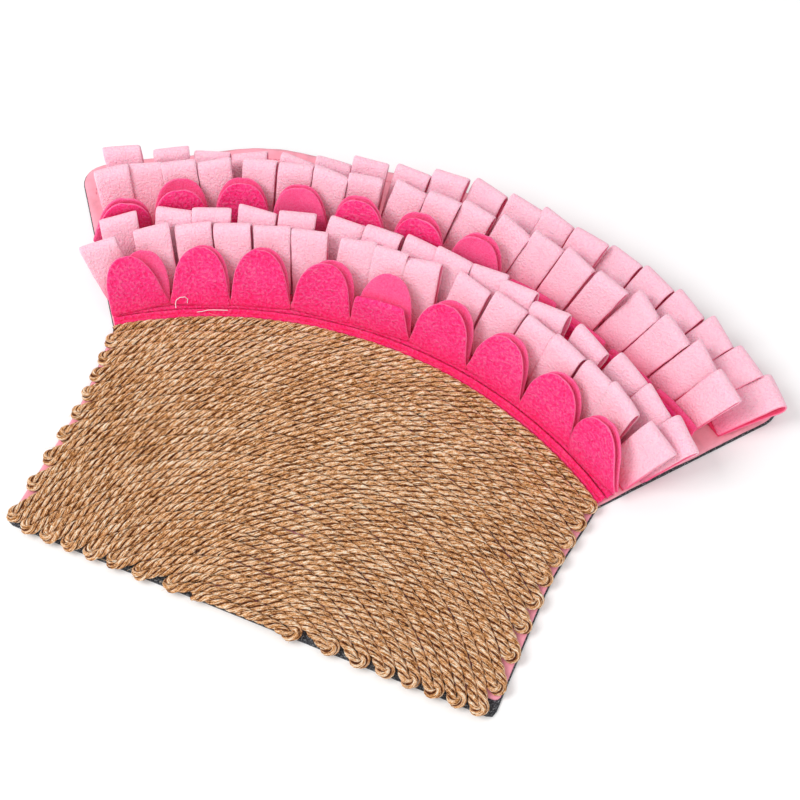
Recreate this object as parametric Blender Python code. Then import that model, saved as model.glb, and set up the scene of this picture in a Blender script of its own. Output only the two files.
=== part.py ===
"""Snuffle mat: a jute rope scratching field and six standing fleece rows on a two-layer cloth base.

Metres, +Z up, +X to the right, +Y to the back. The mat lies flat on Z = 0 and the origin is on its
underside, in the middle of its width and depth. Every row of rope, petals and loops is an arc about
one shared centre, which lies in front of the mat, so places are given as a radius from that centre
and a turn to the right of the middle line.
"""
import math
from collections import namedtuple

import bmesh
import bpy
from mathutils import Matrix, Vector

MM = 0.001

# Driving dimensions
ROPE_DIAMETER = 5.8 * MM
ROPE_AIR = 0.4 * MM                # between neighbouring turns of the rope
ROPE_ROWS = 34
ROPE_SAG = 0.36 * MM               # how far a straight step of the rope may leave its arc
AIR = 0.3 * MM                     # left between neighbouring pieces
CLOTH = 2.0 * MM                   # fleece of the petals and loops
UNDER_CLOTH = 1.2 * MM             # dark non-slip cloth on the floor
TOP_CLOTH = 1.6 * MM               # pink cloth that everything is sewn to
ARC_RADIUS = 291.5 * MM            # crown of the rope field, from the arcs' centre
FRONT_RADIUS = 77.6 * MM           # front edge, from the arcs' centre
FRONT_HALF = 163.5 * MM            # half the width of the straight front edge
NECK_TURN = 36.3                   # degrees: where the rope field ends and the fan begins
FAN_RADIUS = 438.0 * MM            # back edge
FAN_TURN = 36.9                    # degrees: back corners
BACK_CORNER = 16.0 * MM            # radius of the rounded back corners
FRONT_CORNER = 4.0 * MM
SIDE_SHARES = (0.55, 0.70, 0.80, 0.90, 1.0)        # outline points on a side, on the way to the neck
NECK_FROM = 0.68                   # share of the depth to the neck where the sides start to flare
NECK_EASE = 1.35                   # how far past the neck the flare's S-curve would run, as a share
SIDE_INSET = 0.5 * MM              # how far the rope's turns reach past the cloths at the sides
UNDER_FRONT_INSET = 1.5 * MM       # the same at the front edge, for each cloth
TOP_FRONT_INSET = 12.0 * MM
LOOP_WIDTH = 22.4 * MM             # cut width of a loop's strip
LOOP_LENGTH = 48.0 * MM            # foot to fold
PETAL_LENGTH = 43.0 * MM
PETAL_AIR = 0.8 * MM               # between the feet of neighbouring petals
SEW_BAND = 8.0 * MM                # flat sewn edge of a petal strip, in front of its petals

# Worked out from them
ROPE_PITCH = ROPE_DIAMETER + ROPE_AIR
CENTRE_BACK = -(FRONT_RADIUS + FAN_RADIUS) / 2     # the arcs' centre, on the Y axis
TOP_CLOTH_LOW = UNDER_CLOTH + AIR
FLOOR_OF_ROWS = TOP_CLOTH_LOW + TOP_CLOTH + AIR    # underside of the rope and of the fleece strips

# Where the back edge curls up off the floor
Lift = namedtuple("Lift", "turn half_width height")
LIFTS = (
    Lift(turn=-19.0, half_width=9.0, height=9.0 * MM),
    Lift(turn=-3.0, half_width=7.0, height=2.5 * MM),
    Lift(turn=22.0, half_width=10.0, height=4.0 * MM),
)
LIFT_FROM = 400.0 * MM             # radius at which the curl starts, behind the last row
LIFT_STEP = 5.0                    # degrees between the cuts that let the edge curl
LIFT_CUTS = 6                      # cuts to either side of the middle line

# Fleece rows: radius of the foot, number of pieces, the middle piece's turn and the end pieces'
# turns from it, how far the middle pieces are drawn to the right of even spacing, and how much a
# piece bends over along its length
Row = namedtuple("Row", "name radius count middle span draw bend")
PETAL_ROWS = (
    Row("petals_front", 302.2 * MM, 9, 0.0, 32.4, -1.1, 8.0),
    Row("petals_back", 361.0 * MM, 11, -0.7, 33.0, 0.0, 8.0),
)
LOOP_ROWS = (
    Row("loops_1", 314.0 * MM, 16, 0.0, 34.1, 0.3, 10.0),
    Row("loops_2", 327.5 * MM, 16, 0.5, 33.9, 1.5, 10.0),
    Row("loops_3", 371.5 * MM, 19, -0.4, 33.0, -0.6, 8.0),
    Row("loops_4", 390.0 * MM, 19, 1.2, 33.1, 1.5, 12.0),
)
# How the pieces of a row stand, from left to right, in degrees: lean up from the floor, splay to the
# right and twist about the piece's own length
Stances = namedtuple("Stances", "lean splay twist")
STANCES = {
    "petals_front": Stances(
        (71, 65, 66, 74, 81, 75, 76, 74, 81),
        (-8, 4, -1, 3, -3, 1, 3, -2, -12),
        (0, -3, 3, 2, -1, -1, -3, 4, 0)),
    "petals_front behind": Stances(
        (65, 63, 63, 68, 67, 67, 71, 70, 77),
        (12, 8, 2, 10, 2, 6, 4, 0, -11),
        (0, -3, 3, 2, -1, -1, -3, 4, 0)),
    "petals_back": Stances(
        (84, 82, 75, 73, 78, 79, 76, 84, 84, 84, 84),
        (12, 3, 3, -4, -3, 0, -2, 0, 0, 0, 0),
        (-1, 4, -1, 1, -5, 2, 1, 2, 0, 0, 2)),
    "petals_back behind": Stances(
        (82, 64, 65, 69, 72, 72, 71, 63, 63, 63, 63),
        (12, 3, 1, -4, -6, -4, -1, 0, 0, 0, 0),
        (-1, 4, -1, 1, -5, 2, 1, 2, 0, 0, 2)),
    "loops_1": Stances(
        (74, 59, 57, 56, 54, 55, 56, 58, 54, 54, 56, 65, 67, 65, 67, 64),
        (-15, -4, -3, -4, -5, -7, 2, -3, -8, 5, 7, 9, 5, 7, 3, 13),
        (1, 4, -5, -4, 4, 1, 6, -9, 1, -2, 7, 1, -6, 0, -2, 10)),
    "loops_2": Stances(
        (62, 56, 56, 55, 54, 52, 54, 51, 56, 53, 57, 60, 62, 52, 62, 62),
        (-1, 10, 3, 5, 2, 9, 6, 6, 0, -3, -8, -7, 4, 10, 14, 17),
        (2, -9, 3, -1, 8, -4, -4, -1, 1, 8, -6, 0, -6, 7, 2, -1)),
    "loops_3": Stances(
        (63, 61, 62, 62, 58, 60, 67, 62, 60, 60, 56, 56, 54, 58, 60, 50, 49, 49, 60),
        (-2, -4, -6, -6, 3, 4, 5, 3, 12, 11, 10, 14, 12, 12, 14, 16, 15, 15, 15),
        (-1, -2, 5, 4, -6, 0, -5, 9, -1, 0, -5, -1, 7, -1, 2, -9, 4, 2, 4)),
    "loops_4": Stances(
        (66, 68, 68, 63, 66, 62, 66, 62, 55, 50, 48, 51, 54, 43, 40, 38, 38, 38, 38),
        (-5, 2, 2, -1, 11, 6, 4, 8, 6, 8, 9, 6, 7, 6, 8, 10, 13, 15, 16),
        (-2, 9, -4, 0, -7, 4, 5, -1, -1, -8, 7, 0, 4, -6, -3, 4, 2, 5, -9)),
}

# A petal from foot to tip: share of its length, share of half its foot's width
Cut = namedtuple("Cut", "along half")
PETAL_OUTLINE = (
    Cut(0.25, 0.96), Cut(0.50, 0.88), Cut(0.70, 0.755), Cut(0.86, 0.54), Cut(0.96, 0.305), Cut(1.0, 0.11),
)
# Petals whose tip is tucked behind them: share of the length where each layer turns over
Tuck = namedtuple("Tuck", "row piece front back")
TUCKED = (
    Tuck("petals_front", 4, 0.60, None),
    Tuck("petals_back", 7, 0.50, 0.45),
    Tuck("petals_back", 8, 0.52, 0.44),
    Tuck("petals_back", 9, 0.48, 0.44),
    Tuck("petals_back", 10, 0.52, 0.46),
)
# A tucked tip past its fold: distance up from the fold, layers behind, share of the half width
Flap = namedtuple("Flap", "rise behind half")
TUCKED_TIP = (Flap(0.0, 0, 0.86), Flap(-7.0 * MM, 1, 0.72), Flap(-12.0 * MM, 1, 0.40))
PETAL_CUP = 2.2 * MM               # how far a petal's sides stand forward of its middle
# A loop from foot to fold: share of its length, half the opening between its two layers
Gape = namedtuple("Gape", "along half")
LOOP_OUTLINE = (Gape(0.26, 1.5 * MM), Gape(0.62, 1.9 * MM), Gape(0.93, 1.2 * MM))
ROOT_GAP = 0.5 * MM                # between the two layers where they meet the strip
STRIP_HEIGHT = 2.4 * MM            # sewn root strip of a row
# Sewn edge of a petal strip: distance in front of the petals, height
Ridge = namedtuple("Ridge", "ahead height")
BAND_PROFILE = (
    Ridge(SEW_BAND, 1.2 * MM),
    Ridge(6.4 * MM, 2.8 * MM),
    Ridge(4.2 * MM, 1.8 * MM),
    Ridge(2.6 * MM, 3.3 * MM),
)

Finish = namedtuple("Finish", "name colour roughness")
JUTE = Finish("jute rope", (0.48, 0.26, 0.125), 0.9)
ANTI_SLIP = Finish("non-slip cloth", (0.045, 0.046, 0.055), 0.95)
PINK_CLOTH = Finish("pink base cloth", (0.90, 0.38, 0.46), 0.9)
FUCHSIA = Finish("fuchsia fleece", (0.93, 0.045, 0.20), 0.95)
LIGHT_PINK = Finish("light pink fleece", (0.95, 0.48, 0.63), 0.95)


# Places and small curves

def smooth_step(share):
    share = min(max(share, 0.0), 1.0)
    return share * share * (3.0 - 2.0 * share)


def on_arc(radius, turn, up=0.0):
    """A place at a radius from the arcs' centre, turned by degrees to the right of the middle line."""
    angle = math.radians(turn)
    return Vector((radius * math.sin(angle), CENTRE_BACK + radius * math.cos(angle), up))


def wander(row_number, piece, wave):
    """An uneven value from -1 to 1 that is the same each run."""
    return math.sin(2.39 * piece + 1.7 * row_number + 2.1 * wave) * math.cos(1.13 * piece + 0.6 * wave)


def edge_lift(radius, turn):
    """Height of the curled back edge at a place on the base."""
    rise = smooth_step((radius - LIFT_FROM) / (FAN_RADIUS - LIFT_FROM))
    height = 0.0
    for lift in LIFTS:
        away = abs(turn - lift.turn) / lift.half_width
        height += lift.height * (1.0 - smooth_step(away))
    return rise * height


def side_half_width(back):
    """Half the width of the rope field at a distance behind the arcs' centre."""
    neck = ARC_RADIUS * math.sin(math.radians(NECK_TURN))
    neck_back = ARC_RADIUS * math.cos(math.radians(NECK_TURN))
    straight_to = NECK_FROM * neck_back
    share = (back - straight_to) / (neck_back - straight_to)
    flare = smooth_step(share / NECK_EASE) / smooth_step(1.0 / NECK_EASE)
    return FRONT_HALF + (neck - FRONT_HALF) * flare


# Making objects

def clear_scene():
    for old in list(bpy.data.objects):
        bpy.data.objects.remove(old, do_unlink=True)


def make_material(finish):
    material = bpy.data.materials.new(finish.name)
    material.use_nodes = True
    shader = material.node_tree.nodes["Principled BSDF"]
    shader.inputs["Base Color"].default_value = (*finish.colour, 1.0)
    shader.inputs["Roughness"].default_value = finish.roughness
    shader.inputs["Metallic"].default_value = 0.0
    material.diffuse_color = (*finish.colour, 1.0)
    return material


def add_object(name, data, finish, collection):
    thing = bpy.data.objects.new(name, data)
    material = bpy.data.materials.get(finish.name) or make_material(finish)
    thing.data.materials.append(material)
    collection.objects.link(thing)


def mesh_from(name, bm):
    bmesh.ops.recalc_face_normals(bm, faces=bm.faces)
    mesh = bpy.data.meshes.new(name)
    bm.to_mesh(mesh)
    bm.free()
    return mesh


# Base cloths

def filleted(before, corner, after, radius, steps):
    """Points of an arc that rounds one corner of an outline."""
    back = (before - corner).normalized()
    onward = (after - corner).normalized()
    half = math.acos(max(-1.0, min(1.0, back.dot(onward)))) / 2
    reach = radius / math.tan(half)
    middle = corner + (back + onward).normalized() * (radius / math.sin(half))
    start = corner + back * reach - middle
    sweep = math.pi - 2 * half
    sign = 1.0 if (back.x * onward.y - back.y * onward.x) < 0 else -1.0
    points = []
    for step in range(steps + 1):
        points.append(middle + Matrix.Rotation(sign * sweep * step / steps, 3, "Z") @ start)
    return points


def base_outline(front_inset):
    """Outline of a base cloth, from the middle of the front edge round to the right."""
    front = CENTRE_BACK + FRONT_RADIUS + front_inset
    corner = Vector((FRONT_HALF - SIDE_INSET, front, 0.0))
    neck_back = ARC_RADIUS * math.cos(math.radians(NECK_TURN))
    side = []
    for share in SIDE_SHARES:
        back = share * neck_back
        side.append(Vector((side_half_width(back) - SIDE_INSET, CENTRE_BACK + back, 0.0)))
    fan = FAN_RADIUS - SIDE_INSET
    back_corner = on_arc(fan, FAN_TURN) - Vector((SIDE_INSET, 0.0, 0.0))
    arc = [on_arc(fan, number * LIFT_STEP) for number in range(LIFT_CUTS, -1, -1)]
    right = filleted(Vector((0.0, front, 0.0)), corner, side[0], FRONT_CORNER, 2)
    right += side
    right += filleted(side[-1], back_corner, arc[0], BACK_CORNER, 4)
    right += arc
    left = [Vector((-point.x, point.y, 0.0)) for point in reversed(right[:-1])]
    return right + left


def turn_of(place):
    return math.degrees(math.atan2(place.x, place.y - CENTRE_BACK))


def cut_for_curl(bm):
    """Adds the radial and ring cuts that let the flat sheet curl along its back edge."""
    for number in range(-LIFT_CUTS, LIFT_CUTS + 1):
        across = Matrix.Rotation(-math.radians(number * LIFT_STEP), 3, "Z") @ Vector((1.0, 0.0, 0.0))
        whole = bm.verts[:] + bm.edges[:] + bm.faces[:]
        bmesh.ops.bisect_plane(bm, geom=whole, dist=1e-6, plane_co=on_arc(0.0, 0.0), plane_no=across)
    for ring in (LIFT_FROM, (LIFT_FROM + FAN_RADIUS) / 2):
        for number in range(-LIFT_CUTS, LIFT_CUTS):
            low = number * LIFT_STEP
            high = low + LIFT_STEP
            wedge = [face for face in bm.faces if low < turn_of(face.calc_center_median()) < high]
            near = list({vert for face in wedge for vert in face.verts})
            edges = list({edge for face in wedge for edge in face.edges})
            outward = on_arc(1.0, low + LIFT_STEP / 2) - on_arc(0.0, 0.0)
            bmesh.ops.bisect_plane(
                bm, geom=near + edges + wedge, dist=1e-6, plane_co=on_arc(ring, low), plane_no=outward)


def build_base_cloth(name, low, thickness, front_inset, finish, collection):
    bm = bmesh.new()
    bm.faces.new([bm.verts.new(point) for point in base_outline(front_inset)])
    cut_for_curl(bm)
    bmesh.ops.triangulate(bm, faces=bm.faces)
    for vert in bm.verts:
        radius = (vert.co - on_arc(0.0, 0.0)).length
        vert.co.z = low + thickness + edge_lift(radius, turn_of(vert.co))
    upper = bm.faces[:]
    lowered = bmesh.ops.extrude_face_region(bm, geom=upper, use_keep_orig=True)["geom"]
    for item in lowered:
        if isinstance(item, bmesh.types.BMVert):
            item.co.z -= thickness
    add_object(name, mesh_from(name, bm), finish, collection)


# Rope

def inside_field(place):
    back = place.y - CENTRE_BACK
    return back >= FRONT_RADIUS - 1e-6 and abs(place.x) <= side_half_width(back)


def end_fits(radius, turn, reach):
    """Whether a rounded end of the given reach, centred on an arc, stays in the field."""
    centre = on_arc(radius, turn)
    for step in range(7):
        heading = math.radians(turn + 30.0 * step)
        rim = centre + reach * Vector((math.sin(heading), math.cos(heading), 0.0))
        if not inside_field(rim):
            return False
    return True


def end_turn(radius, reach):
    """Largest turn at which a rounded end fits, found by halving."""
    low = 0.0
    high = 80.0
    while high - low > 1e-9:
        middle = (low + high) / 2
        if end_fits(radius, middle, reach):
            low = middle
        else:
            high = middle
    return low


def rope_route():
    """Middle line of the one rope: arcs to and fro, joined by tight turns at the field's edge."""
    radii = [ARC_RADIUS - (row + 0.5) * ROPE_PITCH + ROPE_AIR / 2 for row in range(ROPE_ROWS)]
    limits = [end_turn(radii[0], ROPE_DIAMETER / 2)]
    for row in range(ROPE_ROWS - 1):
        limits.append(end_turn(radii[row] - ROPE_PITCH / 2, ROPE_PITCH / 2 + ROPE_DIAMETER / 2))
    limits.append(end_turn(radii[-1], ROPE_DIAMETER / 2))
    height = FLOOR_OF_ROWS + ROPE_DIAMETER / 2 * math.cos(math.radians(30.0))   # flat side down
    points = []
    side = -1.0
    for row, radius in enumerate(radii):
        start = side * limits[row]
        stop = -side * limits[row + 1]
        length = radius * math.radians(abs(stop - start))
        steps = max(2, math.ceil(length / math.sqrt(8.0 * ROPE_SAG * radius)))
        for step in range(steps + 1):
            points.append(on_arc(radius, start + (stop - start) * step / steps, height))
        if row < ROPE_ROWS - 1:
            centre = on_arc(radius - ROPE_PITCH / 2, stop, height)
            arm = points[-1] - centre
            for part in (1, 2):
                around = Matrix.Rotation(side * math.radians(60.0 * part), 3, "Z")
                points.append(centre + around @ arm)
        side = -side
    return points


def build_rope(collection):
    curve = bpy.data.curves.new("rope_field", "CURVE")
    curve.dimensions = "3D"
    curve.twist_mode = "Z_UP"
    curve.bevel_depth = ROPE_DIAMETER / 2
    curve.bevel_resolution = 1
    curve.use_fill_caps = True
    route = rope_route()
    spline = curve.splines.new("POLY")
    spline.points.add(len(route) - 1)
    for point, place in zip(spline.points, route):
        point.co = (*place, 1.0)
    add_object("rope_field", curve, JUTE, collection)


# Fleece rows

def side_of(row, piece):
    """Where a piece is in its row, from -1 at the left end to 1 at the right end."""
    return 2.0 * piece / (row.count - 1) - 1.0


def turn_of_piece(row, piece):
    side = side_of(row, piece)
    return row.middle + row.span * side + row.draw * (1.0 - side * side)


def petal_foot(row, piece):
    """Width of a petal where it meets the strip: its share of the row, less the air beside it."""
    degrees = 2.0 * (row.span - 2.0 * row.draw * side_of(row, piece)) / (row.count - 1)
    return row.radius * math.radians(degrees) - PETAL_AIR


class Stand:
    """How one petal or loop stands: its foot, its directions and how it leans, bends and twists."""

    def __init__(self, row, row_number, piece, layer=""):
        stances = STANCES[row.name + layer]
        self.lean = stances.lean[piece]
        self.splay = stances.splay[piece]
        self.twist = stances.twist[piece]
        self.bend = row.bend * (1.0 + 0.5 * wander(row_number, piece, 2))
        turn = turn_of_piece(row, piece)
        angle = math.radians(turn)
        self.across = Vector((math.cos(angle), -math.sin(angle), 0.0))
        self.outward = Vector((math.sin(angle), math.cos(angle), 0.0))
        self.foot = on_arc(row.radius, turn, FLOOR_OF_ROWS + STRIP_HEIGHT)

    def heading(self, lean):
        lean = math.radians(lean)
        splay = math.radians(self.splay)
        rise = self.outward * math.cos(lean) + Vector((0.0, 0.0, math.sin(lean)))
        return rise * math.cos(splay) + self.across * math.sin(splay)

    def place(self, along, length, sideways, backward):
        """A place at a share of the length, a distance across and a distance behind its middle."""
        share = along / length
        centre = self.foot + self.heading(self.lean - self.bend * share / 2) * along
        up = self.heading(self.lean - self.bend * share)
        side = (self.across - up * self.across.dot(up)).normalized()
        behind = side.cross(up)
        if behind.z > 0:
            behind = -behind
        twist = Matrix.Rotation(math.radians(self.twist * share), 3, up)
        return centre + twist @ (side * sideways + behind * backward)


def strip_grid(bm, row, widths, columns, profile):
    """Top of a row's root strip: columns across each piece and rows from front to back.

    Returns the faces of each piece, by row of the profile.
    """
    across = bm.verts.layers.float.get("across") or bm.verts.layers.float.new("across")
    lines = []
    for piece, width in enumerate(widths):
        middle = turn_of_piece(row, piece)
        half_turn = math.degrees(0.5 * width / row.radius)
        for column in range(columns + 1):
            side = 2.0 * column / columns - 1.0
            turn = middle + side * half_turn
            line = []
            for offset, height in profile:
                vert = bm.verts.new(on_arc(row.radius + offset, turn, FLOOR_OF_ROWS + height))
                vert[across] = side
                line.append(vert)
            lines.append(line)
    feet = []
    for number in range(len(lines) - 1):
        left = lines[number]
        right = lines[number + 1]
        faces = []
        for depth in range(len(profile) - 1):
            faces.append(bm.faces.new((left[depth], right[depth], right[depth + 1], left[depth + 1])))
        if (number + 1) % (columns + 1):
            feet.append(faces)
    return [feet[start:start + columns] for start in range(0, len(feet), columns)]


def close_strip(bm):
    """Gives the strip its sides and its flat underside."""
    top = bm.faces[:]
    made = bmesh.ops.extrude_face_region(bm, geom=top, use_keep_orig=True)["geom"]
    for item in made:
        if isinstance(item, bmesh.types.BMVert):
            item.co.z = FLOOR_OF_ROWS
    under = [item for item in made if isinstance(item, bmesh.types.BMFace)]
    bmesh.ops.dissolve_faces(bm, faces=under, use_verts=False)


def extrude_to(bm, faces, move):
    """Extrudes a patch and moves each new corner to where move says."""
    made = bmesh.ops.extrude_face_region(bm, geom=faces)["geom"]
    bmesh.ops.delete(bm, geom=faces, context="FACES")
    for item in made:
        if isinstance(item, bmesh.types.BMVert):
            item.co = move(item)
    return [item for item in made if isinstance(item, bmesh.types.BMFace)]


def mark_depth(bm, faces_by_layer):
    """Marks each foot corner as on the outer or the inner side of its layer of cloth."""
    depth = bm.verts.layers.float.get("depth") or bm.verts.layers.float.new("depth")
    for faces, front_value, back_value in faces_by_layer:
        verts = {vert for face in faces for vert in face.verts}
        reach = [(vert.co - on_arc(0.0, 0.0, vert.co.z)).length for vert in verts]
        middle = (min(reach) + max(reach)) / 2
        for vert in verts:
            beyond = (vert.co - on_arc(0.0, 0.0, vert.co.z)).length > middle
            vert[depth] = back_value if beyond else front_value


def raise_petal(bm, stand, faces, width, layer, fold_at):
    """One layer of a petal, from its foot to its rounded tip or to the fold that tucks it."""
    across = bm.verts.layers.float["across"]
    depth = bm.verts.layers.float["depth"]
    middle = layer * (CLOTH + ROOT_GAP) / 2
    for cut in PETAL_OUTLINE:
        along = cut.along * PETAL_LENGTH
        spread = 0.5 * width * cut.half
        if fold_at and cut.along >= fold_at:
            break

        def move(vert, along=along, spread=spread, cut=cut):
            cup = PETAL_CUP * vert[across] ** 2 * cut.half ** 2 * min(1.0, 2.0 * cut.along)
            thick = vert[depth] * CLOTH / 2
            return stand.place(along, PETAL_LENGTH, vert[across] * spread, middle + thick - cup)

        faces = extrude_to(bm, faces, move)
    if fold_at:
        tuck_tip(bm, stand, faces, width, middle, fold_at * PETAL_LENGTH)


def tuck_tip(bm, stand, faces, width, middle, top):
    """Turns a petal over at its fold, its tip hanging behind it."""
    across = bm.verts.layers.float["across"]
    depth = bm.verts.layers.float["depth"]
    for flap in TUCKED_TIP:

        def move(vert, flap=flap):
            sideways = vert[across] * 0.5 * width * flap.half
            cup = PETAL_CUP * vert[across] ** 2 * flap.half ** 3
            if flap.behind:
                rise = top + flap.rise
                back = middle + CLOTH + AIR - vert[depth] * CLOTH / 2
            else:
                rise = top + CLOTH * (0.5 - 0.5 * vert[depth])
                back = middle + (CLOTH + AIR) / 2
            return stand.place(rise, PETAL_LENGTH, sideways, back - cup)

        faces = extrude_to(bm, faces, move)


def raise_loop(bm, stand, front, back):
    """One strip from its front foot up to the fold and down to its back foot."""
    across = bm.verts.layers.float["across"]
    depth = bm.verts.layers.float["depth"]
    ends = []
    for faces, layer in ((front, -1.0), (back, 1.0)):
        for gape in LOOP_OUTLINE:

            def move(vert, along=gape.along * LOOP_LENGTH, gape=gape, layer=layer):
                away = gape.half + CLOTH * (0.5 + 0.5 * vert[depth])
                return stand.place(along, LOOP_LENGTH, vert[across] * LOOP_WIDTH / 2, layer * away)

            faces = extrude_to(bm, faces, move)
        if layer < 0:

            def fold(vert):
                rise = LOOP_LENGTH - CLOTH * (0.5 - 0.5 * vert[depth])
                return stand.place(rise, LOOP_LENGTH, vert[across] * LOOP_WIDTH / 2, 0.0)

            faces = extrude_to(bm, faces, fold)
        ends.append(faces)
    rims = list({edge for faces in ends for face in faces for edge in face.edges})
    bmesh.ops.delete(bm, geom=ends[0] + ends[1], context="FACES")
    bmesh.ops.bridge_loops(bm, edges=rims)


def build_petal_row(row, row_number, collection):
    """Two layers of petals from one strip, sewn down along its flat ridged edge."""
    bm = bmesh.new()
    reach = CLOTH + ROOT_GAP / 2
    profile = [(-reach - ridge.ahead, ridge.height) for ridge in BAND_PROFILE]
    for offset in (-reach, -ROOT_GAP / 2, ROOT_GAP / 2, reach):
        profile.append((offset, STRIP_HEIGHT))
    widths = [petal_foot(row, piece) for piece in range(row.count)]
    pieces = strip_grid(bm, row, widths, 2, profile)
    front = len(BAND_PROFILE)
    feet = []
    for columns in pieces:
        front_faces = [column[front] for column in columns]
        back_faces = [column[front + 2] for column in columns]
        mark_depth(bm, ((front_faces, -1.0, 1.0), (back_faces, -1.0, 1.0)))
        feet.append((front_faces, back_faces))
    close_strip(bm)
    for number, (front_faces, back_faces) in enumerate(feet):
        tucks = [tuck for tuck in TUCKED if (tuck.row, tuck.piece) == (row.name, number)]
        fold = tucks[0] if tucks else Tuck(row.name, number, None, None)
        width = widths[number]
        behind = Stand(row, row_number, number, " behind")
        raise_petal(bm, Stand(row, row_number, number), front_faces, width, -1.0, fold.front)
        raise_petal(bm, behind, back_faces, width, 1.0, fold.back)
    add_object(row.name, mesh_from(row.name, bm), FUCHSIA, collection)


def build_loop_row(row, row_number, collection):
    """Folded strips side by side, their ends sewn into one root strip."""
    bm = bmesh.new()
    reach = CLOTH + ROOT_GAP / 2
    profile = [(offset, STRIP_HEIGHT) for offset in (-reach, -ROOT_GAP / 2, ROOT_GAP / 2, reach)]
    pieces = strip_grid(bm, row, [LOOP_WIDTH] * row.count, 1, profile)
    feet = []
    for columns in pieces:
        front = [columns[0][0]]
        back = [columns[0][2]]
        mark_depth(bm, ((front, 1.0, -1.0), (back, -1.0, 1.0)))
        feet.append((front, back))
    close_strip(bm)
    for number, (front, back) in enumerate(feet):
        raise_loop(bm, Stand(row, row_number, number), front, back)
    add_object(row.name, mesh_from(row.name, bm), LIGHT_PINK, collection)


def main():
    clear_scene()
    collection = bpy.data.collections.new("snuffle_mat")
    bpy.context.scene.collection.children.link(collection)
    build_base_cloth("base_under", 0.0, UNDER_CLOTH, UNDER_FRONT_INSET, ANTI_SLIP, collection)
    build_base_cloth("base_top", TOP_CLOTH_LOW, TOP_CLOTH, TOP_FRONT_INSET, PINK_CLOTH, collection)
    build_rope(collection)
    for number, row in enumerate(PETAL_ROWS):
        build_petal_row(row, number, collection)
    for number, row in enumerate(LOOP_ROWS):
        build_loop_row(row, number + len(PETAL_ROWS), collection)


main()
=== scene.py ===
"""Looks of the snuffle mat: brushed fleece, jute rope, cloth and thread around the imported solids.

Metres, +Z up, +X to the right, +Y to the back. The mat lies flat on Z = 0. Every row of rope,
petals and loops is an arc about one shared centre in front of the mat, so places are given as a
radius from that centre and a turn in degrees to the right of the middle line.
"""

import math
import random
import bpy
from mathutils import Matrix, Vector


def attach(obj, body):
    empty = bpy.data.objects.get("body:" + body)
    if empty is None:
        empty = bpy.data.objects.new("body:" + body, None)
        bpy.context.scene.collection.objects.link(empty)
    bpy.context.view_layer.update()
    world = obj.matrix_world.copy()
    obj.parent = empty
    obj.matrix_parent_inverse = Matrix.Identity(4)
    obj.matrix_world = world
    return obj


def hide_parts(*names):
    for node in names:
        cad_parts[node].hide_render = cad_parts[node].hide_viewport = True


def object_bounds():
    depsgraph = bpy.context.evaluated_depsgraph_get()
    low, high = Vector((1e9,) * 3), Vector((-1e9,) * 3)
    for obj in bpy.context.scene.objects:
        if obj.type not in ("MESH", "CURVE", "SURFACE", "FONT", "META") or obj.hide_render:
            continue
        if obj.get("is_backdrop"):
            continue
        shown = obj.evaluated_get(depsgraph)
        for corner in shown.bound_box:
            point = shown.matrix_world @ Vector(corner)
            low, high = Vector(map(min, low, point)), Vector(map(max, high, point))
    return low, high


bl_info = {
    "name": "Snuffle Mat",
    "version": (1, 0, 0),
    "blender": (4, 5, 0),
    "location": "View3D > Sidebar > Snuffle Mat",
    "description": "Dresses the solids of a fan-shaped snuffle mat in fleece, jute rope and cloth",
    "category": "Add Mesh",
}

from collections import namedtuple

import bmesh
import bpy
import numpy as np
from bpy.props import FloatProperty, FloatVectorProperty, PointerProperty
from mathutils import Matrix, Vector, noise

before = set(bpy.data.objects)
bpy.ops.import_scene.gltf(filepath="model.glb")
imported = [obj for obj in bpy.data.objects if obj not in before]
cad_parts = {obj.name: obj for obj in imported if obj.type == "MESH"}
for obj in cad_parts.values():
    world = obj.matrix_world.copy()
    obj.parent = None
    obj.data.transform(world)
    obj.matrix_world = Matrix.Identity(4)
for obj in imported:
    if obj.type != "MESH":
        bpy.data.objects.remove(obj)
cad_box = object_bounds()

MM = 0.001
BODY = "root"
UP = Vector((0.0, 0.0, 1.0))

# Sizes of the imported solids
ROPE_DIAMETER = 5.8 * MM
ROPE_PITCH = 6.2 * MM
ROPE_ROWS = 34
AIR = 0.3 * MM                     # between neighbouring pieces
CLOTH = 2.0 * MM                   # fleece
UNDER_CLOTH = 1.2 * MM
TOP_CLOTH = 1.6 * MM
ARC_RADIUS = 291.5 * MM            # crown of the rope field, from the arcs' centre
FRONT_RADIUS = 77.6 * MM           # front edge, from the arcs' centre
FRONT_HALF = 163.5 * MM            # half of the front edge
NECK_TURN = 36.3                   # degrees: where the rope field ends and the fan begins
FAN_RADIUS = 438.0 * MM            # back edge
FAN_TURN = 36.9                    # degrees: back corners
BACK_CORNER = 16.0 * MM            # radius of the rounded back corners
FRONT_CORNER = 4.0 * MM
NECK_FROM = 0.68                   # share of the depth to the neck where the sides start to flare
NECK_EASE = 1.35                   # how far past the neck the flare's S-curve would run, as a share
SIDE_INSET = 0.5 * MM              # how far the cloths stay inside the mat's outline at the sides
UNDER_FRONT_INSET = 1.5 * MM       # the same at the front edge, for each cloth
TOP_FRONT_INSET = 12.0 * MM
LOOP_WIDTH = 22.4 * MM             # strip of one of the solids' loops
LOOP_LENGTH = 48.0 * MM
PETAL_LENGTH = 43.0 * MM
PETAL_AIR = 0.8 * MM               # between the feet of neighbouring petals
PETAL_CUP = 2.2 * MM               # how far a petal's sides stand forward of its middle
ROOT_GAP = 0.5 * MM                # between the two layers of a petal
STRIP_HEIGHT = 2.4 * MM            # sewn root strip of a row
CENTRE_BACK = -(FRONT_RADIUS + FAN_RADIUS) / 2     # the arcs' centre, on the Y axis
TOP_CLOTH_LOW = UNDER_CLOTH + AIR
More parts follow.
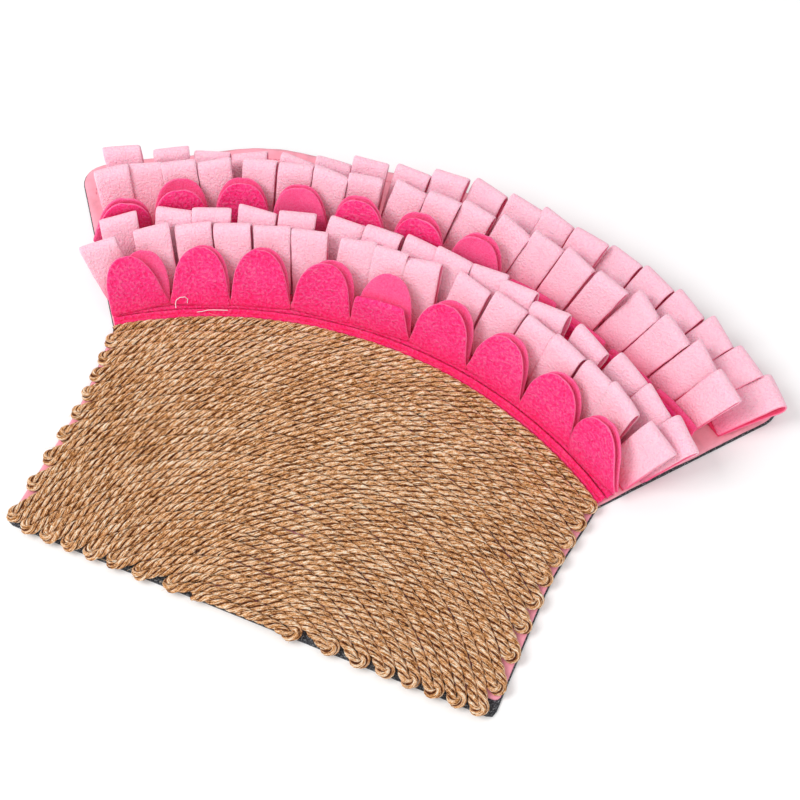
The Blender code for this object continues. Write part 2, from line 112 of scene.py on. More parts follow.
FLOOR_OF_ROWS = TOP_CLOTH_LOW + TOP_CLOTH + AIR

# Places where the back edge lifts off the floor: turn and half width in degrees
Lift = namedtuple("Lift", "turn half_width height")
LIFTS = (Lift(-19.0, 9.0, 9.0 * MM), Lift(-3.0, 7.0, 2.5 * MM), Lift(22.0, 10.0, 4.0 * MM))
LIFT_FROM = 400.0 * MM             # radius at which the lift starts, behind the last row

# Fleece rows, as the solids have them. In degrees: middle of the row, half its span, how far its
# middle pieces are drawn to the right, and how far each piece bends over its length
Row = namedtuple("Row", "name number radius count middle span draw bend")
PETAL_ROWS = (
    Row("petals_front", 0, 302.2 * MM, 9, 0.0, 32.4, -1.1, 8.0),
    Row("petals_back", 1, 361.0 * MM, 11, -0.7, 33.0, 0.0, 8.0),
)
LOOP_ROWS = (
    Row("loops_1", 2, 314.0 * MM, 16, 0.0, 34.1, 0.3, 10.0),
    Row("loops_2", 3, 327.5 * MM, 16, 0.5, 33.9, 1.5, 10.0),
    Row("loops_3", 4, 371.5 * MM, 19, -0.4, 33.0, -0.6, 8.0),
    Row("loops_4", 5, 390.0 * MM, 19, 1.2, 33.1, 1.5, 12.0),
)
# How the pieces of a row stand, from left to right, in degrees: lean up from the floor, splay to the
# right and twist about the piece's own length
Stances = namedtuple("Stances", "lean splay twist")
STANCES = {
    "petals_front": Stances(
        (71, 65, 66, 74, 81, 75, 76, 74, 81),
        (-8, 4, -1, 3, -3, 1, 3, -2, -12),
        (0, -3, 3, 2, -1, -1, -3, 4, 0)),
    "petals_front behind": Stances(
        (65, 63, 63, 68, 67, 67, 71, 70, 77),
        (12, 8, 2, 10, 2, 6, 4, 0, -11),
        (0, -3, 3, 2, -1, -1, -3, 4, 0)),
    "petals_back": Stances(
        (93, 82, 75, 73, 78, 79, 76, 84, 84, 84, 84),
        (12, 3, 3, -4, -3, 0, -2, 0, 0, 0, 0),
        (-1, 4, -1, 1, -5, 2, 1, 2, 0, 0, 2)),
    "petals_back behind": Stances(
        (90, 64, 65, 69, 72, 72, 71, 63, 63, 63, 63),
        (12, 3, 1, -4, -6, -4, -1, 0, 0, 0, 0),
        (-1, 4, -1, 1, -5, 2, 1, 2, 0, 0, 2)),
    "loops_1": Stances(
        (74, 59, 57, 56, 54, 55, 56, 58, 54, 54, 56, 65, 67, 65, 67, 64),
        (-15, -4, -3, -4, -5, -7, 2, -3, -8, 5, 7, 9, 5, 7, 3, 13),
        (1, 4, -5, -4, 4, 1, 6, -9, 1, -2, 7, 1, -6, 0, -2, 10)),
    "loops_2": Stances(
        (62, 56, 56, 55, 54, 52, 54, 51, 56, 53, 57, 60, 62, 52, 62, 62),
        (-1, 10, 3, 5, 2, 9, 6, 6, 0, -3, -8, -7, 4, 10, 14, 17),
        (2, -9, 3, -1, 8, -4, -4, -1, 1, 8, -6, 0, -6, 7, 2, -1)),
    "loops_3": Stances(
        (63, 61, 62, 62, 58, 60, 67, 62, 60, 60, 56, 56, 54, 58, 60, 50, 49, 49, 60),
        (-2, -4, -6, -6, 3, 4, 5, 3, 12, 11, 10, 14, 12, 12, 14, 16, 15, 15, 15),
        (-1, -2, 5, 4, -6, 0, -5, 9, -1, 0, -5, -1, 7, -1, 2, -9, 4, 2, 4)),
    "loops_4": Stances(
        (66, 68, 68, 63, 66, 62, 66, 62, 55, 50, 48, 51, 54, 43, 40, 38, 37, 34, 31),
        (-5, 2, 2, -1, 11, 6, 4, 8, 6, 8, 9, 6, 7, 6, 8, 10, 13, 15, 16),
        (-2, 9, -4, 0, -7, 4, 5, -1, -1, -8, 7, 0, 4, -6, -3, 4, 2, 5, -9)),
}

# Petals whose tip is tucked behind them: share of the length where each layer turns over
Tuck = namedtuple("Tuck", "row piece front back")
TUCKED = (
    Tuck("petals_front", 4, 0.60, None),
    Tuck("petals_back", 7, 0.48, 0.44),
    Tuck("petals_back", 8, 0.42, 0.38),
    Tuck("petals_back", 9, 0.40, 0.36),
    Tuck("petals_back", 10, 0.44, 0.40),
)
# Petals that were sewn with the smooth side to the front
SMOOTH = (("petals_back", 3), ("petals_back", 6))
# A petal from foot to tip: share of its length, share of half its foot's width
Cut = namedtuple("Cut", "along half")
PETAL_OUTLINE = (
    Cut(0.0, 1.05), Cut(0.07, 1.05), Cut(0.12, 1.03), Cut(0.17, 0.985), Cut(0.25, 0.96),
    Cut(0.38, 0.925), Cut(0.50, 0.88), Cut(0.60, 0.83), Cut(0.70, 0.755), Cut(0.78, 0.67),
    Cut(0.85, 0.57), Cut(0.91, 0.455), Cut(0.955, 0.335), Cut(0.985, 0.21), Cut(1.0, 0.10),
)
# Power of those widths in each row: below 1 it makes the petals fuller than the pattern
PETAL_FULLNESS = {"petals_front": 0.88, "petals_back": 0.75}
# A loop from foot to fold: share of its length, half the gape between its legs
Gape = namedtuple("Gape", "along half")
LOOP_OUTLINE = (
    Gape(0.0, 0.25 * MM), Gape(0.26, 1.1 * MM), Gape(0.62, 1.9 * MM), Gape(0.88, 2.8 * MM),
    Gape(1.0, 2.5 * MM),
)
LOOP_AIR = 0.9 * MM                # between neighbouring loops
# Strips of the last row that were cut shorter, from its second loop on: share of the full length
SHORT_ROW = "loops_4"
SHORT_LOOPS = (0.92, 0.82, 0.80, 0.80, 0.82, 0.94, 0.92)
# Two white threads left lying on the front petals: places along each of them, in millimetres
LINT = (
    ((-139.9, 6.0, 8.2), (-141.2, 8.2, 9.6), (-141.0, 9.7, 12.0), (-139.0, 11.5, 13.9), (-136.0, 13.1, 14.1),
     (-134.2, 13.3, 12.6), (-134.2, 12.0, 9.4)),
    ((-126.1, 9.8, 6.3), (-122.5, 11.7, 6.6), (-119.6, 13.6, 7.3), (-115.9, 15.2, 7.4), (-111.5, 17.0, 7.4),
     (-107.1, 18.8, 7.2)),
)
# Sewn edge of a petal strip, from front to back: distance in front of the petals' feet, height
Ridge = namedtuple("Ridge", "ahead height")
BAND_PROFILE = tuple(Ridge(ahead * MM, height * MM) for ahead, height in (
    (8.2, 0.5), (8.1, 1.5), (7.4, 2.7), (6.5, 3.1), (5.6, 2.6), (5.1, 0.9),
    (4.5, 0.8), (4.0, 2.7), (3.2, 3.6), (2.2, 3.5), (1.4, 2.4), (0.9, 0.9)))


def linear(hex_value):
    """Turns an sRGB hex value into the linear colour that Blender works in."""
    channels = []
    for start in (0, 2, 4):
        value = int(hex_value[start:start + 2], 16) / 255
        channels.append(value / 12.92 if value <= 0.04045 else ((value + 0.055) / 1.055) ** 2.4)
    return tuple(channels)


LENGTH = {"subtype": "DISTANCE", "unit": "LENGTH", "precision": 4}
COLOUR = {"subtype": "COLOR", "size": 3, "min": 0.0, "max": 1.0}


class MatSizes(bpy.types.PropertyGroup):
    rope_lay: FloatProperty(
        name="Rope Lay", description="Length of one full turn of a strand round the rope",
        default=20.0 * MM, min=10.0 * MM, max=30.0 * MM, **LENGTH)
    stitch_pitch: FloatProperty(
        name="Stitch Pitch", description="From one stitch to the next in the seams",
        default=3.4 * MM, min=2.0 * MM, max=6.0 * MM, **LENGTH)
    hem_width: FloatProperty(
        name="Hem Width", description="From the pink cloth's edge to its line of stitches",
        default=8.5 * MM, min=5.0 * MM, max=12.0 * MM, **LENGTH)
    pile_clump: FloatProperty(
        name="Pile Clump", description="Size of the small tufts on the fleece",
        default=1.9 * MM, min=0.8 * MM, max=4.0 * MM, **LENGTH)


class MatColours(bpy.types.PropertyGroup):
    fuchsia: FloatVectorProperty(
        name="Fuchsia Fleece", description="Brushed face of the petals",
        default=linear("fd3f88"), **COLOUR)
    fuchsia_back: FloatVectorProperty(
        name="Fuchsia Reverse", description="Smooth reverse of the petals' cloth",
        default=linear("fb5c94"), **COLOUR)
    light_pink: FloatVectorProperty(
        name="Light Pink Fleece", description="Brushed face of the loops",
        default=linear("fdc4d5"), **COLOUR)
    # Reverse of the light pink fleece, inside the loops: its own colour, painted darker and richer than the
    # face as painted shade, since it lies inside the folds and in the gaps between loops
    pink_reverse_with_painted_shade: FloatVectorProperty(
        name="Light Pink Reverse", description="Inside of the loops",
        default=linear("fa8cb1"), **COLOUR)
    pink_cloth: FloatVectorProperty(
        name="Pink Cloth", description="Upper cloth of the base",
        default=linear("f6a3b3"), **COLOUR)
    non_slip: FloatVectorProperty(
        name="Non-slip Cloth", description="Lower cloth of the base",
        default=linear("3a3b40"), **COLOUR)
    jute: FloatVectorProperty(
        name="Jute", description="Middle tone of the rope",
        default=linear("efb079"), **COLOUR)
    thread: FloatVectorProperty(
        name="Thread", description="Pink sewing thread",
        default=linear("e5798f"), **COLOUR)


# Curves and places

def smooth_step(share):
    share = min(max(share, 0.0), 1.0)
    return share * share * (3.0 - 2.0 * share)


def on_arc(radius, turn, up=0.0):
    angle = math.radians(turn)
    return Vector((radius * math.sin(angle), CENTRE_BACK + radius * math.cos(angle), up))


def polar(place):
    """Radius and turn of a place."""
    back = place[1] - CENTRE_BACK
    return math.hypot(place[0], back), math.degrees(math.atan2(place[0], back))


def wander(row_number, piece, wave):
    """An uneven value from -1 to 1 that is the same each run."""
    return math.sin(2.39 * piece + 1.7 * row_number + 2.1 * wave) * math.cos(1.13 * piece + 0.6 * wave)


def edge_lift(radius, turn):
    rise = smooth_step((radius - LIFT_FROM) / (FAN_RADIUS - LIFT_FROM))
    return rise * sum(
        lift.height * (1.0 - smooth_step(abs(turn - lift.turn) / lift.half_width)) for lift in LIFTS)


def side_half_width(back):
    neck = ARC_RADIUS * math.sin(math.radians(NECK_TURN))
    neck_back = ARC_RADIUS * math.cos(math.radians(NECK_TURN))
    straight_to = NECK_FROM * neck_back
    share = (back - straight_to) / (neck_back - straight_to)
    flare = smooth_step(share / NECK_EASE) / smooth_step(1.0 / NECK_EASE)
    return FRONT_HALF + (neck - FRONT_HALF) * flare


def between(table, share):
    """Value at a share of the way, eased between the entries of a table."""
    for low, high in zip(table, table[1:]):
        if share <= high[0]:
            return low[1] + (high[1] - low[1]) * smooth_step((share - low[0]) / (high[0] - low[0]))
    return table[-1][1]


def side_of(row, piece):
    """Where a piece is in its row, from -1 at the left end to 1 at the right end."""
    return 2.0 * piece / (row.count - 1) - 1.0


def turn_of_piece(row, piece):
    side = side_of(row, piece)
    return row.middle + row.span * side + row.draw * (1.0 - side * side)


def petal_foot(row, piece):
    """Width of a petal where it meets the strip."""
    degrees = 2.0 * (row.span - 2.0 * row.draw * side_of(row, piece)) / (row.count - 1)
    return row.radius * math.radians(degrees) - PETAL_AIR


class Stand:
    """How one petal or loop stands: its foot, its directions and how it leans, bends and twists."""

    def __init__(self, row, piece, layer=""):
        stances = STANCES[row.name + layer]
        self.lean = stances.lean[piece]
        self.splay = stances.splay[piece]
        self.twist = stances.twist[piece]
        self.bend = row.bend * (1.0 + 0.5 * wander(row.number, piece, 2))
        turn = turn_of_piece(row, piece)
        angle = math.radians(turn)
        self.across = Vector((math.cos(angle), -math.sin(angle), 0.0))
        self.outward = Vector((math.sin(angle), math.cos(angle), 0.0))
        self.foot = on_arc(row.radius, turn, FLOOR_OF_ROWS + STRIP_HEIGHT)

    def heading(self, lean):
        lean = math.radians(lean)
        splay = math.radians(self.splay)
        rise = self.outward * math.cos(lean) + UP * math.sin(lean)
        return rise * math.cos(splay) + self.across * math.sin(splay)

    def place(self, along, length, sideways, backward):
        """A place at a distance up the piece, across it and behind its middle."""
        share = along / length
        centre = self.foot + self.heading(self.lean - self.bend * share / 2) * along
        up = self.heading(self.lean - self.bend * share)
        side = (self.across - up * self.across.dot(up)).normalized()
        behind = side.cross(up)
        if behind.z > 0:
            behind = -behind
        twist = Matrix.Rotation(math.radians(self.twist * share), 3, up)
        return centre + twist @ (side * sideways + behind * backward)


# Making and finishing pieces

def placed(name, data):
    """An object of a mesh, curve, light or camera, in the scene."""
    piece = bpy.data.objects.new(name, data)
    bpy.context.scene.collection.objects.link(piece)
    return piece


def deselect_all():
    for piece in bpy.context.selected_objects:
        piece.select_set(False)


def make_active(piece):
    deselect_all()
    piece.hide_set(False)
    piece.select_set(True)
    bpy.context.view_layer.objects.active = piece


def folded_grid(name, columns, rows, place):
    """A flat grid that is folded into shape: place takes -1 to 1 across it and 0 to 1 along it."""
    deselect_all()
    bpy.ops.mesh.primitive_grid_add(x_subdivisions=columns, y_subdivisions=rows, size=2.0)
    piece = bpy.context.object
    piece.name = name
    for vert in piece.data.vertices:
        vert.co = place(vert.co.x, (vert.co.y + 1.0) / 2)
    return piece


def apply_modifier(piece, kind, **settings):
    make_active(piece)
    modifier = piece.modifiers.new(kind.title(), kind)
    for name, value in settings.items():
        setattr(modifier, name, value)
    bpy.ops.object.modifier_apply(modifier=modifier.name)


def thicken(piece, thickness, offset=0.0, levels=1, reverse=0, rim=0):
    """Gives a sheet its thickness and soft cut edges, with the materials of its reverse and its rim."""
    apply_modifier(piece, "SOLIDIFY", thickness=thickness, offset=offset, use_even_offset=False,
                   material_offset=reverse, material_offset_rim=rim)
    if levels:
        apply_modifier(piece, "SUBSURF", levels=levels, render_levels=levels)


def joined(name, pieces):
    make_active(pieces[0])
    for piece in pieces:
        piece.select_set(True)
    if len(pieces) > 1:
        bpy.ops.object.join()
    piece = bpy.context.object
    piece.name = name
    piece.data.name = name
    return piece


def tidy_normals(piece):
    make_active(piece)
    bpy.ops.object.mode_set(mode="EDIT")
    bpy.ops.mesh.select_all(action="SELECT")
    bpy.ops.mesh.normals_make_consistent(inside=False)
    bpy.ops.object.mode_set(mode="OBJECT")


def finish(piece, replaced=()):
    make_active(piece)
    bpy.ops.object.shade_smooth()
    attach(piece, BODY)
    if replaced:
        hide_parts(*replaced)


def set_material(piece, *materials):
    piece.data.materials.clear()
    for material in materials:
        piece.data.materials.append(material)


def repeated(name, model, placings):
    """One mesh with a copy of a modelled piece at each placing."""
    bm = bmesh.new()
    for placing in placings:
        start = len(bm.verts)
        bm.from_mesh(model.data)
        bm.verts.ensure_lookup_table()
        bmesh.ops.transform(bm, matrix=placing, verts=bm.verts[start:])
    mesh = bpy.data.meshes.new(name)
    bm.to_mesh(mesh)
    bm.free()
    bpy.data.objects.remove(model, do_unlink=True)
    return placed(name, mesh)


# Materials

# Real sizes of the patterns
FLEECE_PATCH = 16.67 * MM          # uneven brushing
CLOTH_WAVE = 6.91 * MM             # pull of the threads, which are too fine to show at 0.4 mm
CLOTH_PATCH = 8.33 * MM            # uneven dye
FELT_FIBRES = 1.111 * MM           # a needled bunch of fibres
JUTE_BATCH = 29.4 * MM             # paler and darker stretches of the rope
JUTE_GRAIN = 1.25 * MM
THREAD_PLY = 0.667 * MM
# Jute fibres run in a pattern of their own, about 0.8 mm wide and 4 mm long. Its units are these from
# the middle of a strand to its skin, and to a millimetre of rope.
FIBRE_ROUND = 1.6
FIBRE_ALONG = 0.17
WAVE_PHASE = 20.0                  # radians to a unit in a wave texture of scale 1
# Sockets of a Mix node for colours
FACTOR, FIRST, SECOND, MIXED = 0, 6, 7, 2
WHITE = (1.0, 1.0, 1.0)
BLACK = (0.0, 0.0, 0.0)

# Painted shade on the fleece: a tint that makes its colour darker and richer near its foot, where shade falls
# between the pieces and the cloth lights itself, and the height where the tint ends
Foot = namedtuple("Foot", "tint height")
# Height below which the painted shade is full
PAINTED_SHADE_LOW = 5.0 * MM
PETAL_PAINTED_SHADE = Foot((1.0, 0.7, 0.78), 27.0 * MM)
LOOP_PAINTED_SHADE = Foot((1.0, 0.42, 0.58), 27.0 * MM)
LOOP_INSIDE_PAINTED_SHADE = Foot((1.0, 0.22, 0.40), 47.0 * MM)


def set_inputs(tree, node, inputs):
    """Links each named input of a node to a socket, or gives it a value."""
    for name, value in inputs.items():
        if isinstance(value, bpy.types.NodeSocket):
            tree.links.new(value, node.inputs[name])
        else:
            node.inputs[name].default_value = value


def add_node(tree, kind, inputs=None, stops=(), **settings):
    """Adds a node with its settings, its inputs and a colour ramp's stops of (position, colour)."""
    node = tree.nodes.new(kind)
    for name, value in settings.items():
        setattr(node, name, value)
    set_inputs(tree, node, inputs or {})
    elements = node.color_ramp.elements if stops else ()
    while len(elements) < len(stops):
        elements.new(0.5)
    for element, (position, colour) in zip(elements, stops):
        element.position = position
        element.color = (*colour, 1.0)
    return node


def shade(colour, factor):
    return tuple(min(1.0, channel * factor) for channel in colour)


def paler(colour, share):
    return tuple(channel + (1.0 - channel) * share for channel in colour)


def richer(colour, share):
    """The same hue with its weak channels weaker, as cloth looks where it lights itself."""
    return tuple(channel ** (1.0 + share) for channel in colour)


def new_material(name, colour):
    material = bpy.data.materials.new(name)
    material.use_nodes = True
    material.diffuse_color = (*colour, 1.0)
    tree = material.node_tree
    return material, tree, tree.nodes["Principled BSDF"]


def brushed_fleece(name, colour, foot, clump, relief, contrast):
    """Polyester fleece, brushed and sheared: a matt pile in small tufts, with painted shade near its foot
    that makes its colour darker and richer there.
    """
    material, tree, shader = new_material(name, colour)
    place = add_node(tree, "ShaderNodeTexCoord").outputs["Object"]
    tufts = add_node(tree, "ShaderNodeTexNoise", {
        "Vector": place, "Scale": 1.0 / clump, "Detail": 2.0, "Roughness": 0.55, "Distortion": 0.4})
    patches = add_node(tree, "ShaderNodeTexNoise", {
        "Vector": place, "Scale": 1.0 / FLEECE_PATCH, "Detail": 2.0})
    mixed = add_node(tree, "ShaderNodeMath", {
        0: patches.outputs["Fac"], 1: 0.25, 2: tufts.outputs["Fac"]}, operation="MULTIPLY_ADD")
    tone = add_node(tree, "ShaderNodeValToRGB", {"Fac": mixed.outputs[0]}, stops=(
        (0.44, richer(colour, contrast)), (0.62, colour), (0.82, paler(colour, 0.3 * contrast))))
    # Painted shade: below the low height the colour is multiplied fully by the foot tint, fading out up to
    # the tint's height
    height = add_node(tree, "ShaderNodeSeparateXYZ", {"Vector": place}).outputs["Z"]
    painted_shade_mask = add_node(tree, "ShaderNodeMapRange", {
        "Value": height, "From Min": PAINTED_SHADE_LOW, "From Max": foot.height, "To Min": 1.0, "To Max": 0.0},
        interpolation_type="SMOOTHSTEP")
    painted_shade_tint = add_node(tree, "ShaderNodeMix", {
        FACTOR: painted_shade_mask.outputs["Result"], FIRST: (*WHITE, 1.0), SECOND: (*foot.tint, 1.0)},
        data_type="RGBA")
    tone_with_painted_shade = add_node(tree, "ShaderNodeMix", {
        FACTOR: 1.0, FIRST: tone.outputs["Color"], SECOND: painted_shade_tint.outputs[MIXED]},
        data_type="RGBA", blend_type="MULTIPLY")
    bump = add_node(tree, "ShaderNodeBump", {
        "Height": tufts.outputs["Fac"], "Strength": 1.0, "Distance": relief})
    set_inputs(tree, shader, {
        "Base Color": tone_with_painted_shade.outputs[MIXED],
        "Normal": bump.outputs["Normal"],
        "Roughness": 1.0,
        "Specular IOR Level": 0.04,
        "Sheen Weight": 0.1,
        "Sheen Roughness": 0.6,
        "Sheen Tint": (*paler(colour, 0.3), 1.0),
        "Subsurface Weight": 0.2,
        "Subsurface Radius": (1.0, 0.3, 0.45),
        "Subsurface Scale": 3.0 * MM,
    })
    return material


def woven_cloth(colour):
    """Plain-woven polyester cloth: matt, crossed by faint waves where its threads pull, unevenly dyed."""
    material, tree, shader = new_material("woven polyester cloth", colour)
    place = add_node(tree, "ShaderNodeTexCoord").outputs["Object"]
    waves = [
        add_node(tree, "ShaderNodeTexWave", {
            "Vector": place, "Scale": math.tau / (WAVE_PHASE * CLOTH_WAVE), "Distortion": 0.8, "Detail": 1.0},
            wave_type="BANDS", bands_direction=direction).outputs["Fac"] for direction in ("X", "Y")]
    weave = add_node(tree, "ShaderNodeMath", {0: waves[0], 1: waves[1]}, operation="MULTIPLY")
    uneven = add_node(tree, "ShaderNodeTexNoise", {
        "Vector": place, "Scale": 1.0 / CLOTH_PATCH, "Detail": 4.0})
    tone = add_node(tree, "ShaderNodeValToRGB", {"Fac": uneven.outputs["Fac"]}, stops=(
        (0.3, shade(colour, 0.86)), (0.5, colour), (0.75, shade(colour, 1.08))))
    bump = add_node(tree, "ShaderNodeBump", {
        "Height": weave.outputs[0], "Strength": 0.6, "Distance": 0.15 * MM})
    set_inputs(tree, shader, {
        "Base Color": tone.outputs["Color"],
        "Normal": bump.outputs["Normal"],
        "Roughness": 0.9,
        "Specular IOR Level": 0.15,
    })
    return material


def speckled_felt(colour):
    """Needled non-slip felt: dark grey fibres with pale ones among them."""
    material, tree, shader = new_material("needled non-slip felt", colour)
    place = add_node(tree, "ShaderNodeTexCoord").outputs["Object"]
    fibres = add_node(tree, "ShaderNodeTexNoise", {
        "Vector": place, "Scale": 1.0 / FELT_FIBRES, "Detail": 3.0, "Roughness": 0.7})
    tone = add_node(tree, "ShaderNodeValToRGB", {"Fac": fibres.outputs["Fac"]}, stops=(
        (0.36, shade(colour, 0.35)), (0.52, colour), (0.66, linear("8d8e92")), (0.74, linear("c9c9cb"))))
    bump = add_node(tree, "ShaderNodeBump", {
        "Height": fibres.outputs["Fac"], "Strength": 0.8, "Distance": 0.4 * MM})
    set_inputs(tree, shader, {
        "Base Color": tone.outputs["Color"], "Normal": bump.outputs["Normal"], "Roughness": 0.95})
    return material


def twisted_jute(colour):
    """Twisted jute yarn: dry, streaky fibres along each strand, with dark bits of bark, and painted shade
    that darkens the crevices between the strands.
    """
    material, tree, shader = new_material("twisted jute yarn", colour)
    along = add_node(tree, "ShaderNodeAttribute", attribute_name="fibre").outputs["Vector"]
    depth = add_node(tree, "ShaderNodeAttribute", attribute_name="depth").outputs["Fac"]
    place = add_node(tree, "ShaderNodeTexCoord").outputs["Object"]
    streaks = add_node(tree, "ShaderNodeTexNoise", {
        "Vector": along, "Scale": 1.4, "Detail": 4.0, "Roughness": 0.7})
    bark = add_node(tree, "ShaderNodeTexNoise", {"Vector": along, "Scale": 0.55, "Detail": 1.0})
    batches = add_node(tree, "ShaderNodeTexNoise", {
        "Vector": place, "Scale": 1.0 / JUTE_BATCH, "Detail": 3.0})
    grain = add_node(tree, "ShaderNodeTexNoise", {
        "Vector": place, "Scale": 1.0 / JUTE_GRAIN, "Detail": 2.0})
    grainy = add_node(tree, "ShaderNodeMath", {
        0: grain.outputs["Fac"], 1: 0.2, 2: streaks.outputs["Fac"]}, operation="MULTIPLY_ADD")
    mixed = add_node(tree, "ShaderNodeMath", {
        0: batches.outputs["Fac"], 1: 0.1, 2: grainy.outputs[0]}, operation="MULTIPLY_ADD")
    tone = add_node(tree, "ShaderNodeValToRGB", {"Fac": mixed.outputs[0]}, stops=(
        (0.52, linear("5e2f10")), (0.60, linear("c68646")), (0.66, colour), (0.76, linear("fff0d6"))))
    flecks = add_node(tree, "ShaderNodeValToRGB", {"Fac": bark.outputs["Fac"]}, stops=(
        (0.24, WHITE), (0.27, BLACK)))
    dark = add_node(tree, "ShaderNodeMix", {
        FACTOR: flecks.outputs["Color"], FIRST: tone.outputs["Color"], SECOND: (*linear("3c2410"), 1.0)},
        data_type="RGBA")
    # Painted shade: darker where a strand's skin lies deep, near the rope's middle line, in the crevices
    # between the strands
    painted_crevice_shade = add_node(tree, "ShaderNodeValToRGB", {"Fac": depth}, stops=(
        (0.50, linear("2a1408")), (0.70, linear("8a5a32")), (0.84, WHITE)))
    jute_with_painted_shade = add_node(tree, "ShaderNodeMix", {
        FACTOR: 1.0, FIRST: dark.outputs[MIXED], SECOND: painted_crevice_shade.outputs["Color"]},
        data_type="RGBA", blend_type="MULTIPLY")
    bump = add_node(tree, "ShaderNodeBump", {
        "Height": streaks.outputs["Fac"], "Strength": 1.0, "Distance": 1.4 * MM})
    set_inputs(tree, shader, {
        "Base Color": jute_with_painted_shade.outputs[MIXED],
        "Normal": bump.outputs["Normal"],
        "Roughness": 0.75,
        "Specular IOR Level": 0.3,
    })
    return material


def spun_thread(name, colour):
    """Spun thread or loose fibre: fine, slightly shiny plies."""
    material, tree, shader = new_material(name, colour)
    place = add_node(tree, "ShaderNodeTexCoord").outputs["Object"]
    plies = add_node(tree, "ShaderNodeTexNoise", {
        "Vector": place, "Scale": 1.0 / THREAD_PLY, "Detail": 2.0})
    tone = add_node(tree, "ShaderNodeValToRGB", {"Fac": plies.outputs["Fac"]}, stops=(
        (0.3, shade(colour, 0.8)), (0.7, shade(colour, 1.15))))
    set_inputs(tree, shader, {"Base Color": tone.outputs["Color"], "Roughness": 0.6})
    return material


def matt_paper(colour):
    """Matt white paper under the mat: no shine, so that only soft shadows show on it."""
    material, tree, shader = new_material("matt white floor", colour)
    set_inputs(tree, shader, {"Base Color": (*colour, 1.0), "Roughness": 1.0, "Specular IOR Level": 0.0})
    return material


# Base cloths

SIDE_STEPS = 40                    # of each side, up to the neck
FRONT_CORNER_STEPS = 8
BACK_CORNER_STEPS = 16
BACK_ARC_TURN = 33.0               # degrees: end of the back arc, short of the rounded corner
BACK_ARC_POINTS = 60
UNDER_SIDE_INSET = -0.4 * MM       # the non-slip cloth shows past the pink one
UNDER_POINTS = (90, 70)            # of each cloth's grid, across and along
TOP_POINTS = (170, 130)
# Hem of the pink cloth, where nothing lies on it
HEM_FREE_FROM = 300.0 * MM         # radius, just behind the rope field
HEM_FREE_OVER = 20.0 * MM
HEM_REACH = 14.0 * MM              # from the cloth's edge
HEM_FADE = 6.0 * MM
HEM_RISE = 0.7 * MM
HEM_ROUND = 1.6 * MM               # from the edge to the full rise
HEM_FOLD = 6.0 * MM                # from the edge to where the turned-in layer thins out
HEM_THIN_OVER = 2.0 * MM
HEM_FOLD_SHARE = 0.55
SEAM_DIP = 0.45 * MM
SEAM_HALF = 0.9 * MM
PUCKER_RISE = 0.55 * MM
PUCKERS = 95.0                     # to a metre
CRINKLE_RISE = 0.9 * MM
CRINKLES = 38.0                    # to a metre


def filleted(before, corner, after, radius, steps):
    """Points of an arc that rounds one corner of an outline."""
    back = (before - corner).normalized()
    onward = (after - corner).normalized()
    half = math.acos(max(-1.0, min(1.0, back.dot(onward)))) / 2
    middle = corner + (back + onward).normalized() * (radius / math.sin(half))
    start = corner + back * (radius / math.tan(half)) - middle
    sign = 1.0 if (back.x * onward.y - back.y * onward.x) < 0 else -1.0
    sweep = sign * (math.pi - 2 * half)
    return [middle + Matrix.Rotation(sweep * step / steps, 3, "Z") @ start for step in range(steps + 1)]


def base_edges(front_inset, side_inset):
    """Right half of the front edge, right side, and right half of the back edge, each in order."""
    front_back = FRONT_RADIUS + front_inset
    corner = Vector((FRONT_HALF - side_inset, CENTRE_BACK + front_back, 0.0))
    neck_back = ARC_RADIUS * math.cos(math.radians(NECK_TURN))
    side = []
    for step in range(1, SIDE_STEPS + 1):
        back = front_back + (neck_back - front_back) * step / SIDE_STEPS
        side.append(Vector((side_half_width(back) - side_inset, CENTRE_BACK + back, 0.0)))
    side = side[2:]
    fan = FAN_RADIUS - side_inset
    back_corner = on_arc(fan, FAN_TURN) - Vector((side_inset, 0.0, 0.0))
    arc = [on_arc(fan, turn) for turn in np.linspace(BACK_ARC_TURN, 0.0, BACK_ARC_POINTS)]
    middle = Vector((0.0, corner.y, 0.0))
    front_arc = filleted(middle, corner, side[0], FRONT_CORNER, FRONT_CORNER_STEPS)
    back_arc = filleted(side[-1], back_corner, arc[0], BACK_CORNER, BACK_CORNER_STEPS)
    front_half = FRONT_CORNER_STEPS // 2
    back_half = BACK_CORNER_STEPS // 2
    front = [middle] + front_arc[:front_half + 1]
    return front, front_arc[front_half:] + side + back_arc[:back_half + 1], back_arc[back_half:] + arc


def walked_along(line):
    """How far along a line each of its points is."""
    return np.concatenate(([0.0], np.cumsum(np.linalg.norm(np.diff(line, axis=0), axis=1))))


def points_at(line, walked, at):
    """Points of a line at distances along it."""
    return np.stack([np.interp(at, walked, axis) for axis in line.T], axis=1)


def spaced(points, shares):
    """Places at shares of the way along a line of points."""
    line = np.array([point[:2] for point in points])
    walked = walked_along(line)
    return points_at(line, walked, np.asarray(shares) * walked[-1])


